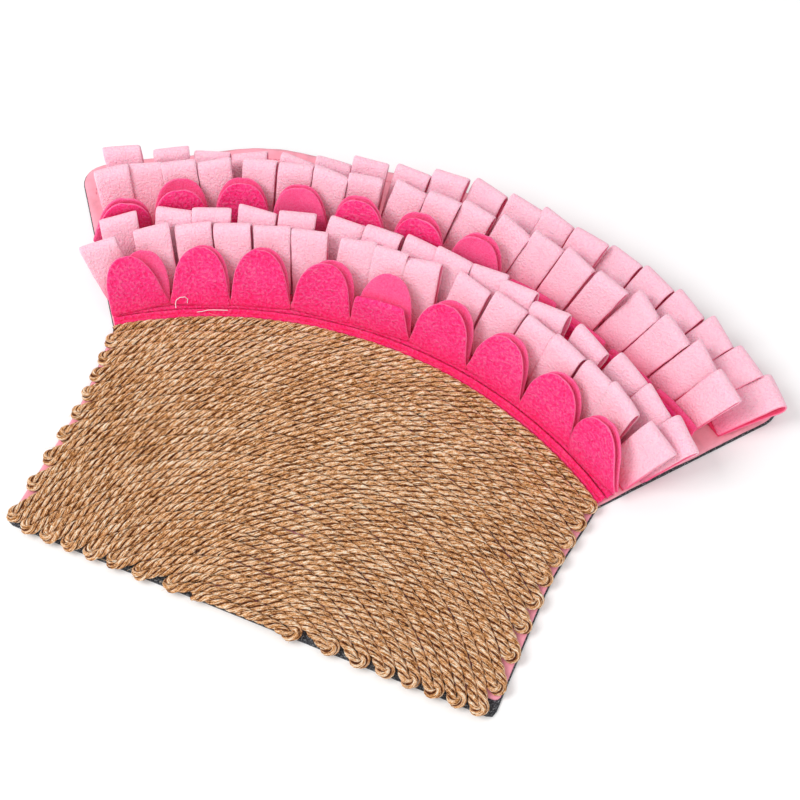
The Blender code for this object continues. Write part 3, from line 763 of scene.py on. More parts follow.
def base_places(front_inset, side_inset, columns, rows):
    """Places of a grid that fills the base's outline, and the outline itself."""
    front, side, back = base_edges(front_inset, side_inset)
    across = np.linspace(-1.0, 1.0, columns)
    along = np.linspace(0.0, 1.0, rows)
    mirror = np.array((-1.0, 1.0))
    flip = np.stack((np.where(across < 0, -1.0, 1.0), np.ones(columns)), axis=1)
    near = spaced(front, np.abs(across)) * flip
    far = spaced(back[::-1], np.abs(across)) * flip
    right = spaced(side, along)
    left = right * mirror
    u = ((across + 1) / 2)[None, :, None]
    v = along[:, None, None]
    straight = (1 - v) * near[None] + v * far[None] + (1 - u) * left[:, None] + u * right[:, None]
    corners = (1 - v) * ((1 - u) * left[0] + u * right[0]) + v * ((1 - u) * left[-1] + u * right[-1])
    outline = np.concatenate([
        spaced(line, np.linspace(0, 1, count)) for line, count in ((front, 160), (side, 320), (back, 260))])
    return straight - corners, np.concatenate((outline, outline * mirror))


def distance_to(outline, places, at_once=2000):
    """Distance from each place to the nearest point of an outline, for some places at once."""
    found = [
        np.sqrt(((places[start:start + at_once, None] - outline[None]) ** 2).sum(axis=2).min(axis=1))
        for start in range(0, len(places), at_once)]
    return np.concatenate(found)


def base_cloth(name, insets, low, thickness, points, relief=None):
    """A base cloth from its lower face up, with the relief(place, distance to its edge) of its top."""
    columns, rows = points
    places, outline = base_places(*insets, columns, rows)
    flat = places.reshape(-1, 2)
    edge = distance_to(outline, flat)

    def place(across, along):
        number = round(along * (rows - 1)) * columns + round((across + 1) / 2 * (columns - 1))
        spot = flat[number]
        rise = relief(spot, edge[number]) if relief else 0.0
        return (*spot, low + thickness + rise + edge_lift(*polar(spot)))

    piece = folded_grid(name, columns - 1, rows - 1, place)
    thicken(piece, thickness, offset=-1.0, levels=0)
    return piece


class SNUFFLE_OT_base(bpy.types.Operator):
    """Make the two cloths under everything: dark non-slip felt, and pink cloth with a sewn hem"""
    bl_idname = "snuffle.base"
    bl_label = "Base Cloths"

    def execute(self, context):
        sizes = context.scene.snuffle_sizes
        colours = context.scene.snuffle_colours

        def hem(place, edge):
            radius = polar(place)[0]
            free = smooth_step((radius - HEM_FREE_FROM) / HEM_FREE_OVER)
            free *= smooth_step((HEM_REACH - edge) / HEM_FADE)
            thin = HEM_FOLD_SHARE * smooth_step((edge - HEM_FOLD) / HEM_THIN_OVER)
            swell = HEM_RISE * (smooth_step(edge / HEM_ROUND) - thin)
            seam = math.exp(-((edge - sizes.hem_width) / SEAM_HALF) ** 2)
            pucker = noise.noise(Vector((place[0], place[1], 0.0)) * PUCKERS)
            crinkle = noise.noise(Vector((place[0], place[1], 3.0)) * CRINKLES)
            return free * (swell - SEAM_DIP * seam + PUCKER_RISE * pucker + CRINKLE_RISE * crinkle)

        insets = UNDER_FRONT_INSET, UNDER_SIDE_INSET
        under = base_cloth("non_slip_layer", insets, 0.0, UNDER_CLOTH, UNDER_POINTS)
        set_material(under, speckled_felt(colours.non_slip))
        finish(under, ["base_under"])
        insets = TOP_FRONT_INSET, SIDE_INSET
        top = base_cloth("pink_layer", insets, TOP_CLOTH_LOW, TOP_CLOTH, TOP_POINTS, hem)
        set_material(top, woven_cloth(colours.pink_cloth))
        finish(top, ["base_top"])
        return {"FINISHED"}


# Rope

FRONT_OVERHANG = 3.0 * MM          # how far the plump turns of the rope hang over the edges
SIDE_OVERHANG = 1.5 * MM
FRONT_STRIP = 3.0 * MM             # left between the last row's middle and the straight front edge
FRONT_DRAW = 100.0 * MM            # rows further than this behind the last one aren't drawn forward
MOST_TURN = 80.0                   # degrees, more than any row runs
ARC_STEP = 2.0 * MM
TURN_STEPS = 12                    # of each half-round turn
ROPE_STEP = 1.3 * MM               # between the rings of a strand
STRAND_SIDES = 6
STRAND_HELIX = 1.47 * MM           # from the rope's middle to a strand's
STRAND_RADIUS = 1.72 * MM
STRAND_SPREAD = 1.10               # the rope is broader than high, because its rows are pressed down
FIBRE_TURN = 22.0 * MM             # one turn of the fibres round their strand
# Unevenness along the rope: size, length of one wave and seed of its random values
Drift = namedtuple("Drift", "size wave seed")
SWAY = Drift(0.28 * MM, 17.0 * MM, 1)
RISE = Drift(0.28 * MM, 15.0 * MM, 2)
LAY_DRIFT = Drift(0.7, 50.0 * MM, 11)              # radians by which the strands' turn strays
HELIX_DRIFT = Drift(0.10, 17.0 * MM, 21)           # share of the helix
THICKNESS_DRIFT = Drift(0.12, 6.0 * MM, 31)        # share of a strand's radius
# Stray fibres on the top of the rope
FIBRES = 900
FIBRE_SEED = 5
FIBRE_LENGTHS = (3.0, 9.0)         # millimetres, shortest and longest
FIBRE_SLOPES = (0.05, 0.5)
FIBRE_DROOP = 1.3                  # share of its slope that a fibre loses towards its tip
FIBRE_BASE = 2.7 * MM              # above the rope's middle
FIBRE_ASIDE = 1.5 * MM
FIBRE_THICKNESS = 0.16 * MM
FIBRE_STEPS = 4
FIBRE_FREE_ENDS = (10, 20)         # points at the rope's start and end where none is rooted


def inside_field(place):
    back = place.y - CENTRE_BACK
    return back >= FRONT_RADIUS - FRONT_OVERHANG and abs(place.x) <= side_half_width(back) + SIDE_OVERHANG


def end_fits(radius, turn, reach):
    centre = on_arc(radius, turn)
    for aside in range(0, 181, 30):
        heading = math.radians(turn + aside)
        if not inside_field(centre + reach * Vector((math.sin(heading), math.cos(heading), 0.0))):
            return False
    return True


def end_turn(radius, reach):
    """Largest turn at which a rounded end fits in the field, found by halving."""
    low, high = 0.0, MOST_TURN
    while high - low > 1e-6:
        middle = (low + high) / 2
        low, high = (middle, high) if end_fits(radius, middle, reach) else (low, middle)
    return low


def laid_to_front(line, last_radius):
    """Draws the rows nearest the front towards its straight edge, so that no bare strip is left there."""
    ahead = line[:, 1] - CENTRE_BACK - FRONT_RADIUS
    last = np.sqrt(np.maximum(last_radius ** 2 - line[:, 0] ** 2, 0.0)) - FRONT_RADIUS
    spare = np.maximum(last - FRONT_STRIP, 0.0)
    share = np.clip((ahead - last) / FRONT_DRAW, 0.0, 1.0)
    line[:, 1] -= spare * (1.0 - share * share * (3.0 - 2.0 * share))
    return line


def rope_line():
    """Middle line of the one rope: arcs to and fro with half-round turns between them."""
    gap = ROPE_PITCH - ROPE_DIAMETER
    radii = [ARC_RADIUS - (row + 0.5) * ROPE_PITCH + gap / 2 for row in range(ROPE_ROWS)]
    limits = [end_turn(radii[0], ROPE_DIAMETER / 2)]
    for radius in radii[:-1]:
        limits.append(end_turn(radius - ROPE_PITCH / 2, ROPE_PITCH / 2 + ROPE_DIAMETER / 2))
    limits.append(end_turn(radii[-1], ROPE_DIAMETER / 2))
    height = FLOOR_OF_ROWS + ROPE_DIAMETER / 2
    points = []
    side = -1.0
    for row, radius in enumerate(radii):
        start = side * limits[row]
        stop = -side * limits[row + 1]
        steps = max(4, int(radius * math.radians(abs(stop - start)) / ARC_STEP))
        points += [on_arc(radius, start + (stop - start) * step / steps, height) for step in range(steps + 1)]
        if row < ROPE_ROWS - 1:
            centre = on_arc(radius - ROPE_PITCH / 2, stop, height)
            arm = points[-1] - centre
            turns = [side * math.pi * step / TURN_STEPS for step in range(1, TURN_STEPS)]
            points += [centre + Matrix.Rotation(turn, 3, "Z") @ arm for turn in turns]
        side = -side
    return laid_to_front(np.array(points), radii[-1])


def walked_evenly(line, step):
    """A line's points at even steps, and how far along it each one is."""
    walked = walked_along(line)
    at = np.linspace(0.0, walked[-1], int(walked[-1] / step) + 1)
    return points_at(line, walked, at), at


def unit(vectors):
    return vectors / np.linalg.norm(vectors, axis=1, keepdims=True)


def strayed(at, drift, strand=0):
    """Smooth uneven values along a line, up to a drift's size to either side of 0."""
    generator = np.random.default_rng(drift.seed + strand)
    knots = generator.uniform(-1.0, 1.0, int(at[-1] / drift.wave) + 4)
    place = at / drift.wave
    low = place.astype(int)
    share = place - low
    share = share * share * (3 - 2 * share)
    return drift.size * (knots[low] * (1 - share) + knots[low + 1] * share)


def tube_faces(rings, sides):
    """Faces between the rings of a tube, and a fan over each end about the two points after them."""
    faces = []
    for low in range(0, (rings - 1) * sides, sides):
        for side in range(sides):
            after = (side + 1) % sides
            faces.append((low + side, low + after, low + sides + after, low + sides + side))
    last = (rings - 1) * sides
    for side in range(sides):
        after = (side + 1) % sides
        faces.append((rings * sides, after, side))
        faces.append((rings * sides + 1, last + side, last + after))
    return faces


def with_ends(sides):
    """The values of a tube's points, ring by ring, and its first and last ones again for its ends."""
    values = np.concatenate(np.stack(sides, axis=1))
    return np.concatenate((values, values[:1], values[-1:]))


def rope_strand(name, line, at, lay, number):
    """One strand wound round the rope's line, with each point's place in the yarn as attributes."""
    tangent = unit(np.gradient(line, axis=0))
    up = np.array(UP)
    level = unit(np.cross(up, tangent))
    theta = -2 * math.pi * at / lay + 2 * math.pi * number / 3 + strayed(at, LAY_DRIFT)
    spread = STRAND_HELIX * (1.0 + strayed(at, HELIX_DRIFT, number))
    wound = np.cos(theta)[:, None] * level * STRAND_SPREAD + np.sin(theta)[:, None] * up
    centre = line + spread[:, None] * wound
    forward = unit(np.gradient(centre, axis=0))
    first = unit(level - (level * forward).sum(axis=1, keepdims=True) * forward)
    second = np.cross(forward, first)
    thick = STRAND_RADIUS * (1.0 + strayed(at, THICKNESS_DRIFT, number))
    skin = []
    yarn = []
    reach = []
    for phi in np.arange(STRAND_SIDES) * (2 * math.pi / STRAND_SIDES):
        places = centre + thick[:, None] * (math.cos(phi) * first + math.sin(phi) * second)
        turned = phi + 2 * math.pi * at / FIBRE_TURN
        skin.append(places)
        # How far out from the rope's middle line each point lies, which the jute material turns into painted
        # shade in the crevices
        reach.append(np.linalg.norm(places - line, axis=1) / (STRAND_HELIX + STRAND_RADIUS))
        yarn.append(np.stack((
            FIBRE_ROUND * np.cos(turned), FIBRE_ROUND * np.sin(turned), at / MM * FIBRE_ALONG + 40 * number),
            axis=1))
    verts = with_ends(skin)
    verts[-2:] = centre[0], centre[-1]
    mesh = bpy.data.meshes.new(name)
    mesh.from_pydata(verts.tolist(), [], tube_faces(len(at), STRAND_SIDES))
    for attribute, kind, field, values in (
            ("fibre", "FLOAT_VECTOR", "vector", yarn), ("depth", "FLOAT", "value", reach)):
        data = mesh.attributes.new(attribute, kind, "POINT").data
        data.foreach_set(field, with_ends(values).astype(np.float32).ravel())
    return placed(name, mesh)


def thin_hairs(name, lines, thickness):
    """Fine tubes along short lines of points."""
    curve = bpy.data.curves.new(name, "CURVE")
    curve.dimensions = "3D"
    curve.bevel_depth = thickness / 2
    curve.bevel_resolution = 0
    curve.use_fill_caps = True
    for line in lines:
        spline = curve.splines.new("POLY")
        spline.points.add(len(line) - 1)
        for point, place in zip(spline.points, line):
            point.co = (*place, 1.0)
    make_active(placed(name, curve))
    bpy.ops.object.convert(target="MESH")
    return bpy.context.object


def stray_fibres(line, tangent, level):
    """Lines of the fibres that stand off the top of the rope and bend back to it."""
    generator = random.Random(FIBRE_SEED)
    fibres = []
    for _ in range(FIBRES):
        start = generator.randrange(FIBRE_FREE_ENDS[0], len(line) - FIBRE_FREE_ENDS[1])
        forward = Vector(tangent[start]) * generator.choice((-1, 1))
        aside = Vector(level[start]) * generator.uniform(-1.0, 1.0)
        length = generator.uniform(*FIBRE_LENGTHS) * MM
        slope = generator.uniform(*FIBRE_SLOPES)
        fibre = [Vector(line[start]) + UP * FIBRE_BASE + aside * FIBRE_ASIDE]
        for step in range(1, FIBRE_STEPS + 1):
            share = step / FIBRE_STEPS
            curl = forward + aside * (0.5 * share) + UP * (slope * (1.0 - FIBRE_DROOP * share))
            fibre.append(fibre[-1] + curl * (length / FIBRE_STEPS))
        fibres.append(fibre)
    return fibres


class SNUFFLE_OT_rope(bpy.types.Operator):
    """Lay the one jute rope to and fro: three twisted strands and the stray fibres on them"""
    bl_idname = "snuffle.rope"
    bl_label = "Jute Rope"

    def execute(self, context):
        sizes = context.scene.snuffle_sizes
        colours = context.scene.snuffle_colours
        line, at = walked_evenly(rope_line(), ROPE_STEP)
        tangent = unit(np.gradient(line, axis=0))
        level = unit(np.cross(UP, tangent))
        line = line + level * strayed(at, SWAY)[:, None]
        line[:, 2] += strayed(at, RISE)
        jute = twisted_jute(colours.jute)
        for number in range(3):
            strand = rope_strand(f"rope_strand_{number + 1}", line, at, sizes.rope_lay, number)
            set_material(strand, jute)
            finish(strand, ["rope_field"])
        fibres = thin_hairs("jute_fibres", stray_fibres(line, tangent, level), FIBRE_THICKNESS)
        set_material(fibres, spun_thread("loose jute fibre", linear("dcb98c")))
        finish(fibres)
        return {"FINISHED"}


# Fleece

# Faces across and along each sheet, before its edges are rounded
PETAL_GRID = (12, 15)
LOOP_GRID = (6, 34)
BAND_COLUMNS = 150
ROOT_GRID = (120, 8)
# Thickness of each sheet, before its edges are rounded
PETAL_CLOTH = 1.9 * MM
LOOP_CLOTH = 1.84 * MM
BAND_CLOTH = 0.9 * MM
ROOT_CLOTH = 0.5 * MM
PETAL_RIPPLE = 0.6 * MM
PETAL_WAVE = 0.5 * MM
PETAL_RAGGED = 0.018               # share of the width by which a cut edge strays
LOOP_CUP = 1.4 * MM
LOOP_SLANT = 1.8 * MM
LOOP_RIPPLE = 1.0 * MM
LOOP_RAGGED = 0.6 * MM
LOOP_TAPER = 0.07                  # share by which a loop is broader at its fold
LOOP_TAPER_RIGHT = 0.05            # and more of it towards the right end
# Shares by which loops differ from each other
LOOP_GAPE_VARIES = 0.35
LOOP_BREADTH_VARIES = 0.02
LOOP_TAPER_VARIES = 0.04
TIP_CROWDING = 0.65                # share by which a petal's grid is closer at its tip
BAND_SWAY = 0.5 * MM
BAND_SWELL = 0.16
ROOT_HALF = 2.6 * MM               # half width of the root strip
ROOT_RISE = 0.35 * MM              # how far it covers the solid's strip


def rough(*place):
    """A smooth uneven value from -1 to 1 at a place."""
    return noise.noise(Vector(place))


def petal_half(row, share):
    """Half width of a petal at a share of its length, as a share of half its foot."""
    half = np.interp(share, [cut.along for cut in PETAL_OUTLINE], [cut.half for cut in PETAL_OUTLINE])
    return float(half) ** PETAL_FULLNESS[row.name]


def petal_share(along):
    """Share of the petal's length for a row of its grid, with the rows closer towards the tip."""
    return (1.0 - TIP_CROWDING) * along + TIP_CROWDING * math.sin(along * math.pi / 2)


def turned_over(along, fold, radius):
    """Rise and distance behind of a sheet that turns over at a fold, at a distance along it."""
    past = along - fold
    if past <= 0:
        return along, 0.0
    if past < math.pi * radius:
        return fold + radius * math.sin(past / radius), radius * (1.0 - math.cos(past / radius))
    return fold - (past - math.pi * radius), 2.0 * radius


def petal_piece(name, row, piece, layer, fold, materials):
    stand = Stand(row, piece, " behind" if layer > 0 else "")
    half_foot = petal_foot(row, piece) / 2
    middle = layer * (CLOTH + ROOT_GAP) / 2
    fold_radius = (CLOTH + AIR) / 2
    wave = PETAL_WAVE * wander(row.number, piece, 7 + layer)
    length = PETAL_LENGTH
    if fold:
        length = min(length, 2.0 * fold * PETAL_LENGTH + math.pi * fold_radius)

    def place(across, along):
        share = petal_share(along)
        half = petal_half(row, share)
        cup = PETAL_CUP * (across * half) ** 2 * min(1.0, 2.0 * share)
        spot = Vector((across * 1.4, share * 2.6, 7.0 * piece + 31.0 * layer))
        ripple = PETAL_RIPPLE * share * noise.noise(spot)
        edge = 1.0 + PETAL_RAGGED * noise.noise(spot * 4.0)
        rise, behind = share * length, 0.0
        if fold:
            rise, behind = turned_over(rise, fold * PETAL_LENGTH, fold_radius)
        backward = middle + behind - cup + ripple + wave * across * share
        return stand.place(rise, PETAL_LENGTH, across * half * edge * half_foot, backward)

    sheet = folded_grid(name, *PETAL_GRID, place)
    set_material(sheet, *materials)
    thicken(sheet, PETAL_CLOTH, reverse=1, rim=2)
    return sheet


def sewn_band(row):
    """The flat ridged edge of a petal strip, in front of the petals."""
    half = math.degrees(0.5 * petal_foot(row, 0) / row.radius)
    gaps = len(BAND_PROFILE) - 1

    def place(across, along):
        turn = row.middle + (row.span + half) * across
        ahead, height = BAND_PROFILE[round(along * gaps)]
        sway = BAND_SWAY * rough(turn * 0.35, row.number, 0.0) * (1.0 - along)
        swell = BAND_SWELL * rough(turn * 0.9, row.number, ahead / MM * 0.25)
        return on_arc(row.radius - ahead - CLOTH + sway, turn, FLOOR_OF_ROWS + height * (1.0 + swell))

    band = folded_grid(row.name + "_band", BAND_COLUMNS, gaps, place)
    thicken(band, BAND_CLOTH, offset=-1.0)
    return band


def root_strip(row, half_piece):
    """Where the ends of a row's strips are sewn down: a low soft ridge along the arc."""
    half = math.degrees(half_piece / row.radius)

    def place(across, along):
        turn = row.middle + (row.span + half) * across
        side = 2.0 * along - 1.0
        height = STRIP_HEIGHT * (1.0 - side ** 4) + ROOT_RISE
        return on_arc(row.radius + side * ROOT_HALF, turn, FLOOR_OF_ROWS + height)

    strip = folded_grid(row.name + "_root", *ROOT_GRID, place)
    thicken(strip, ROOT_CLOTH, offset=-1.0, levels=0)
    return strip


class SNUFFLE_OT_petals(bpy.types.Operator):
    """Make both rows of scalloped petals, each with two layers and a ridged sewn edge"""
    bl_idname = "snuffle.petals"
    bl_label = "Petals"

    def execute(self, context):
        sizes = context.scene.snuffle_sizes
        colours = context.scene.snuffle_colours
        clump = sizes.pile_clump
        smoother = clump * 0.6
        edge = paler(colours.fuchsia_back, 0.05)
        # Each petal material gets painted shade near its foot from the petal tint
        face, reverse, rim = [
            brushed_fleece(name, colour, PETAL_PAINTED_SHADE, size, relief, contrast)
            for name, colour, size, relief, contrast in (
                ("brushed fuchsia fleece", colours.fuchsia, clump * 0.95, 1.9 * MM, 0.28),
                ("fuchsia fleece reverse", colours.fuchsia_back, smoother, 0.9 * MM, 0.16),
                ("fuchsia cut edge", edge, smoother, 0.5 * MM, 0.2))]
        brushed = face, reverse, rim
        smooth = reverse, face, rim
        for row in PETAL_ROWS:
            pieces = [sewn_band(row), root_strip(row, 0.5 * petal_foot(row, 0))]
            for piece in pieces:
                set_material(piece, face)
            for number in range(row.count):
                tucks = [tuck for tuck in TUCKED if (tuck.row, tuck.piece) == (row.name, number)]
                tuck = tucks[0] if tucks else Tuck(row.name, number, None, None)
                shown = smooth if (row.name, number) in SMOOTH else brushed
                front = petal_piece(f"petal_{number}", row, number, -1.0, tuck.front, shown)
                back = petal_piece(f"petal_{number}_behind", row, number, 1.0, tuck.back, smooth)
                pieces += [front, back]
            strip = joined(row.name + "_fleece", pieces)
            tidy_normals(strip)
            finish(strip, [row.name])
            width = math.radians(2.0 * row.span) * row.radius + petal_foot(row, 0)
        return {"FINISHED"}


def loop_breadth(row):
    """Width of the strips of a row: they fill it, with a little air between them."""
    return row.radius * math.radians(2.0 * row.span / (row.count - 1)) - LOOP_AIR


def loop_piece(name, row, piece, materials):
    """One strip from its front end up to the fold and down to its back end."""
    stand = Stand(row, piece)
    gape = 1.0 + LOOP_GAPE_VARIES * wander(row.number, piece, 5)
    top = LOOP_OUTLINE[-1].half * gape + CLOTH / 2
    short = row.name == SHORT_ROW and 1 <= piece <= len(SHORT_LOOPS)
    length = LOOP_LENGTH * (SHORT_LOOPS[piece - 1] if short else 1.0)
    leg = length - CLOTH / 2 - top
    bow = math.pi * top
    whole = 2.0 * leg + bow
    cup = LOOP_CUP * wander(row.number, piece, 6)
    breadth = loop_breadth(row) * (1.0 + LOOP_BREADTH_VARIES * wander(row.number, piece, 8))
    slant = LOOP_SLANT * wander(row.number, piece, 10)
    taper = LOOP_TAPER + LOOP_TAPER_RIGHT * max(0.0, side_of(row, piece))
    taper += LOOP_TAPER_VARIES * wander(row.number, piece, 9)

    def place(across, along):
        past = along * whole
        if leg < past <= leg + bow:
            angle = (past - leg) / top
            rise = leg + top * math.sin(angle)
            backward = -top * math.cos(angle)
        else:
            front_leg = past <= leg
            rise = past if front_leg else whole - past
            half = CLOTH / 2 + gape * between(LOOP_OUTLINE, rise / length)
            backward = -half if front_leg else half
        share = rise / length
        ragged = LOOP_RAGGED * rough(across, along * 14.0, 5.0 * piece + row.number)
        ripple = LOOP_RIPPLE * rough(across * 1.3, along * 5.0, 3.0 * piece + 40.0 * row.number)
        backward += share * (ripple + cup * across * across)
        half_width = (breadth * (1.0 + taper * share) + ragged) / 2
        return stand.place(rise + slant * across * share, length, across * half_width, backward)

    strip = folded_grid(name, *LOOP_GRID, place)
    set_material(strip, *materials)
    thicken(strip, LOOP_CLOTH, reverse=1, rim=2)
    return strip


class SNUFFLE_OT_loops(bpy.types.Operator):
    """Make the four rows of folded fleece strips"""
    bl_idname = "snuffle.loops"
    bl_label = "Loops"

    def execute(self, context):
        sizes = context.scene.snuffle_sizes
        colours = context.scene.snuffle_colours
        clump = sizes.pile_clump * 0.8
        edge = paler(colours.light_pink, 0.1)
        # Each loop material gets painted shade near its foot from its tint
        fleece, inside, rim = [
            brushed_fleece(name, colour, foot, clump, relief, contrast)
            for name, colour, foot, relief, contrast in (
                ("brushed light pink fleece", colours.light_pink, LOOP_PAINTED_SHADE, 1.2 * MM, 0.20),
                # The loops' reverse: darker and richer than the face as painted shade, with more painted
                # shade near its foot
                ("light pink fleece reverse", colours.pink_reverse_with_painted_shade, LOOP_INSIDE_PAINTED_SHADE, 0.5 * MM, 0.15),
                ("light pink cut edge", edge, LOOP_INSIDE_PAINTED_SHADE, 0.6 * MM, 0.3))]
        for row in LOOP_ROWS:
            pieces = [root_strip(row, 0.5 * LOOP_WIDTH)]
            set_material(pieces[0], inside)
            for number in range(row.count):
                pieces.append(loop_piece(f"loop_{number}", row, number, (fleece, inside, rim)))
            strips = joined(row.name + "_fleece", pieces)
            tidy_normals(strips)
            finish(strips, [row.name])
            width = row.count * loop_breadth(row)
        return {"FINISHED"}


# Thread

STITCH_SHARE = 0.8                 # of the pitch that shows as thread
HEM_THREAD = 0.6 * MM
HEM_THREAD_UP = 0.12 * MM
PETAL_THREAD = 0.55 * MM
PETAL_SEAM_AHEAD = 4.8 * MM        # in front of the petals' feet, in the groove of the sewn edge
PETAL_SEAM_UP = 1.15 * MM
PETAL_SEAM_SWAY = 0.25 * MM
PETAL_SEAM_PAST = 3.2              # degrees past the middle of the last petal
HEM_SEAM_FROM = 245.0 * MM         # behind the arcs' centre, where the hem comes clear of the rope
LINT_THICKNESS = 0.6 * MM
ABOVE_ALL = 0.1


def stitch_model(length, width):
    """One stitch lying along X, its ends dipping into the cloth."""
    deselect_all()
    bpy.ops.mesh.primitive_cylinder_add(
        vertices=6, radius=width / 2, depth=length, rotation=(0.0, math.pi / 2, 0.0))
    bpy.ops.object.transform_apply(location=False, rotation=True, scale=False)
    bpy.ops.object.mode_set(mode="EDIT")
    bpy.ops.mesh.select_all(action="DESELECT")
    model = bpy.context.object
    bm = bmesh.from_edit_mesh(model.data)
    for face in bm.faces:
        face.select_set(abs(face.normal.x) > 0.9)
    bmesh.update_edit_mesh(model.data)
    bpy.ops.mesh.inset(thickness=width * 0.2, depth=width * 0.35)
    bpy.ops.mesh.select_all(action="SELECT")
    bpy.ops.mesh.bisect(plane_co=(0.0, 0.0, 0.0), plane_no=(1.0, 0.0, 0.0))
    bpy.ops.object.mode_set(mode="OBJECT")
    for vert in model.data.vertices:
        vert.co.z -= 0.5 * width * (2.0 * vert.co.x / length) ** 2
    return model


def lying(place, forward, upward):
    """Placing of a copy whose X runs forward and whose Z points up."""
    forward = forward.normalized()
    across = upward.cross(forward).normalized()
    up = forward.cross(across)
    placing = Matrix((forward, across, up)).transposed().to_4x4()
    placing.translation = place
    return placing


def hem_placings(cloth, hem_width, pitch):
    """Placings of the stitches on the pink cloth, round the fan from one neck to the other."""
    side, back = base_edges(TOP_FRONT_INSET, SIDE_INSET + hem_width)[1:]
    right = [point for point in side if point.y - CENTRE_BACK > HEM_SEAM_FROM] + back
    route = [(-point.x, point.y, 0.0) for point in right] + [tuple(point) for point in reversed(right[:-1])]
    line = walked_evenly(np.array(route), pitch)[0]
    placings = []
    for before, after in zip(line, line[1:]):
        above = Vector((before + after) / 2) + UP * ABOVE_ALL
        hit, place, normal = cloth.ray_cast(above, -UP)[:3]
        if hit:
            placings.append(lying(place + normal * HEM_THREAD_UP, Vector(after - before), normal))
    return placings


def petal_placings(row, pitch):
    """Placings of the stitches in the groove of a petal strip's sewn edge."""
    radius = row.radius - CLOTH - PETAL_SEAM_AHEAD
    reach = row.span + PETAL_SEAM_PAST
    placings = []
    for turn in np.arange(row.middle - reach, row.middle + reach, math.degrees(pitch / radius)):
        sway = PETAL_SEAM_SWAY * rough(turn * 0.35, row.number, 0.0)
        place = on_arc(radius + sway, turn, FLOOR_OF_ROWS + PETAL_SEAM_UP)
        placings.append(lying(place, on_arc(1.0, turn + 1) - on_arc(1.0, turn - 1), UP))
    return placings


class SNUFFLE_OT_thread(bpy.types.Operator):
    """Sew the hem of the pink cloth and the petals' edges, and drop the white lint"""
    bl_idname = "snuffle.thread"
    bl_label = "Thread"

    def execute(self, context):
        sizes = context.scene.snuffle_sizes
        colours = context.scene.snuffle_colours
        context.view_layer.update()
        stitch = sizes.stitch_pitch * STITCH_SHARE
        placings = hem_placings(bpy.data.objects["pink_layer"], sizes.hem_width, sizes.stitch_pitch)
        hem = repeated("hem_stitches", stitch_model(stitch, HEM_THREAD), placings)
        set_material(hem, spun_thread("pink sewing thread", colours.thread))
        finish(hem)
        placings = [placing for row in PETAL_ROWS for placing in petal_placings(row, sizes.stitch_pitch)]
        seam = repeated("petal_stitches", stitch_model(stitch, PETAL_THREAD), placings)
        set_material(seam, spun_thread("fuchsia sewing thread", linear("e8497c")))
        finish(seam)
        threads = [[Vector(place) * MM for place in line] for line in LINT]
        lint = thin_hairs("white_lint", threads, LINT_THICKNESS)
        set_material(lint, spun_thread("white lint", linear("f6e9ee")))
        finish(lint)
        return {"FINISHED"}


# Stage

FLOOR_SIZE = 8.0
FLOOR_WHITE = linear("f6f6f6")
SKY_STRENGTH = 0.78
# Square lights that face the middle of the mat: place, side and power in watts
Light = namedtuple("Light", "name place side power")
LIGHTS = (Light("key", (-1.0, -0.85, 1.7), 1.0, 22.5), Light("fill", (0.7, -1.5, 1.3), 1.8, 8.0))
# The photograph's view, fitted to the rows of rope: degrees down and to the left, the place on the
# floor that is looked at and the distance from it
VIEW_DOWN = 57.63
VIEW_LEFT = 23.24
LOOKED_AT = Vector((26.5 * MM, 2.9 * MM, 0.0))
VIEW_DISTANCE = 1053.2 * MM
FOCAL_LENGTH = 72.0                # millimetres, as Blender has it, on a sensor of 36
SENSOR_WIDTH = 36.0


def add_light(light):
    lamp = bpy.data.lights.new(light.name, "AREA")
    lamp.size = light.side
    lamp.energy = light.power
    piece = placed(light.name, lamp)
    piece.location = light.place
    piece.rotation_euler = (-Vector(light.place)).to_track_quat("-Z", "Y").to_euler()


def add_camera():
    pitch = math.radians(VIEW_DOWN)
    yaw = math.radians(-VIEW_LEFT)
    forward = Vector((math.sin(yaw) * math.cos(pitch), math.cos(yaw) * math.cos(pitch), -math.sin(pitch)))
    right = Vector((math.cos(yaw), -math.sin(yaw), 0.0))
    lens = bpy.data.cameras.new("camera")
    lens.lens = FOCAL_LENGTH
    lens.sensor_width = SENSOR_WIDTH
    camera = placed("camera", lens)
    placing = Matrix((right, right.cross(forward), -forward)).transposed().to_4x4()
    placing.translation = LOOKED_AT - forward * VIEW_DISTANCE
    camera.matrix_world = placing
    return camera


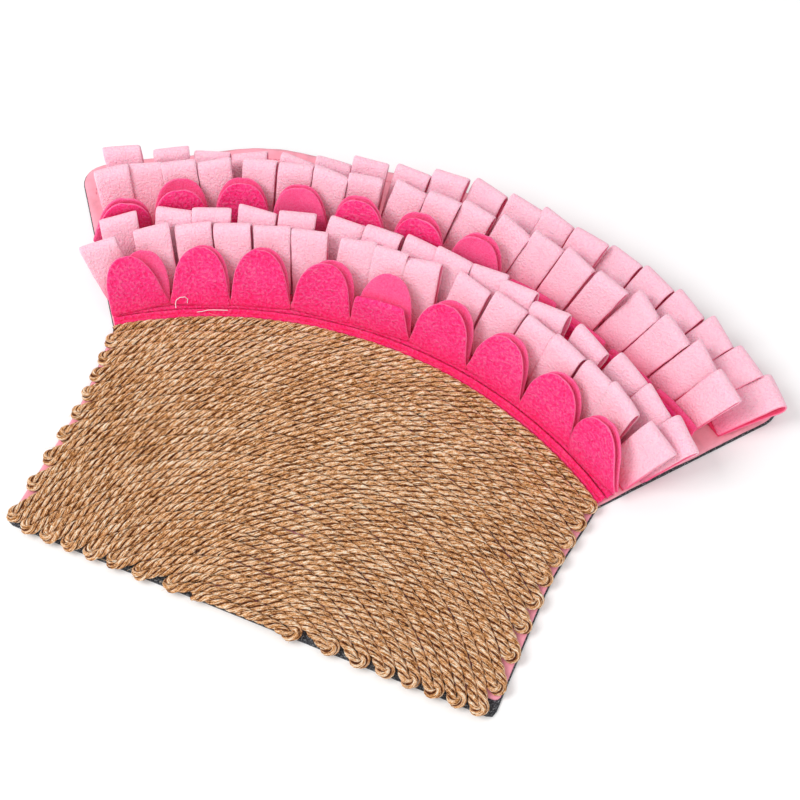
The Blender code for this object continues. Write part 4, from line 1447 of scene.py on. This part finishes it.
class SNUFFLE_OT_stage(bpy.types.Operator):
    """Set the pale floor, the soft lights and the camera"""
    bl_idname = "snuffle.stage"
    bl_label = "Stage"

    def execute(self, context):
        scene = context.scene
        deselect_all()
        bpy.ops.mesh.primitive_plane_add(size=FLOOR_SIZE)
        floor = context.object
        floor.name = "floor"
        set_material(floor, matt_paper(FLOOR_WHITE))
        floor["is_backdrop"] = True
        world = bpy.data.worlds.new("studio")
        world.use_nodes = True
        sky = world.node_tree.nodes["Background"]
        set_inputs(world.node_tree, sky, {"Color": (*WHITE, 1.0), "Strength": SKY_STRENGTH})
        scene.world = world
        for light in LIGHTS:
            add_light(light)
        scene.view_settings.view_transform = "Standard"
        scene.camera = add_camera()
        return {"FINISHED"}


class SNUFFLE_PT_panel(bpy.types.Panel):
    """Sizes, colours and pieces of the snuffle mat"""
    bl_idname = "SNUFFLE_PT_panel"
    bl_label = "Snuffle Mat"
    bl_space_type = "VIEW_3D"
    bl_region_type = "UI"
    bl_category = "Snuffle Mat"

    def draw(self, context):
        for group in (context.scene.snuffle_sizes, context.scene.snuffle_colours):
            for name in group.__annotations__:
                self.layout.prop(group, name)
        for operator in OPERATORS:
            self.layout.operator(operator.bl_idname)


OPERATORS = (
    SNUFFLE_OT_base,
    SNUFFLE_OT_rope,
    SNUFFLE_OT_petals,
    SNUFFLE_OT_loops,
    SNUFFLE_OT_thread,
    SNUFFLE_OT_stage,
)
CLASSES = (MatSizes, MatColours, *OPERATORS, SNUFFLE_PT_panel)


def register():
    for group in CLASSES:
        bpy.utils.register_class(group)
    bpy.types.Scene.snuffle_sizes = PointerProperty(type=MatSizes)
    bpy.types.Scene.snuffle_colours = PointerProperty(type=MatColours)


def unregister():
    del bpy.types.Scene.snuffle_colours
    del bpy.types.Scene.snuffle_sizes
    for group in reversed(CLASSES):
        bpy.utils.unregister_class(group)


def main():
    register()
    bpy.ops.snuffle.base()
    bpy.ops.snuffle.rope()
    bpy.ops.snuffle.petals()
    bpy.ops.snuffle.loops()
    bpy.ops.snuffle.thread()
    bpy.ops.snuffle.stage()
    for name, box in (("cad", cad_box), ("visual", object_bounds())):
        [[float(value) for value in corner] for corner in box]


if __name__ == "__main__":
    main()
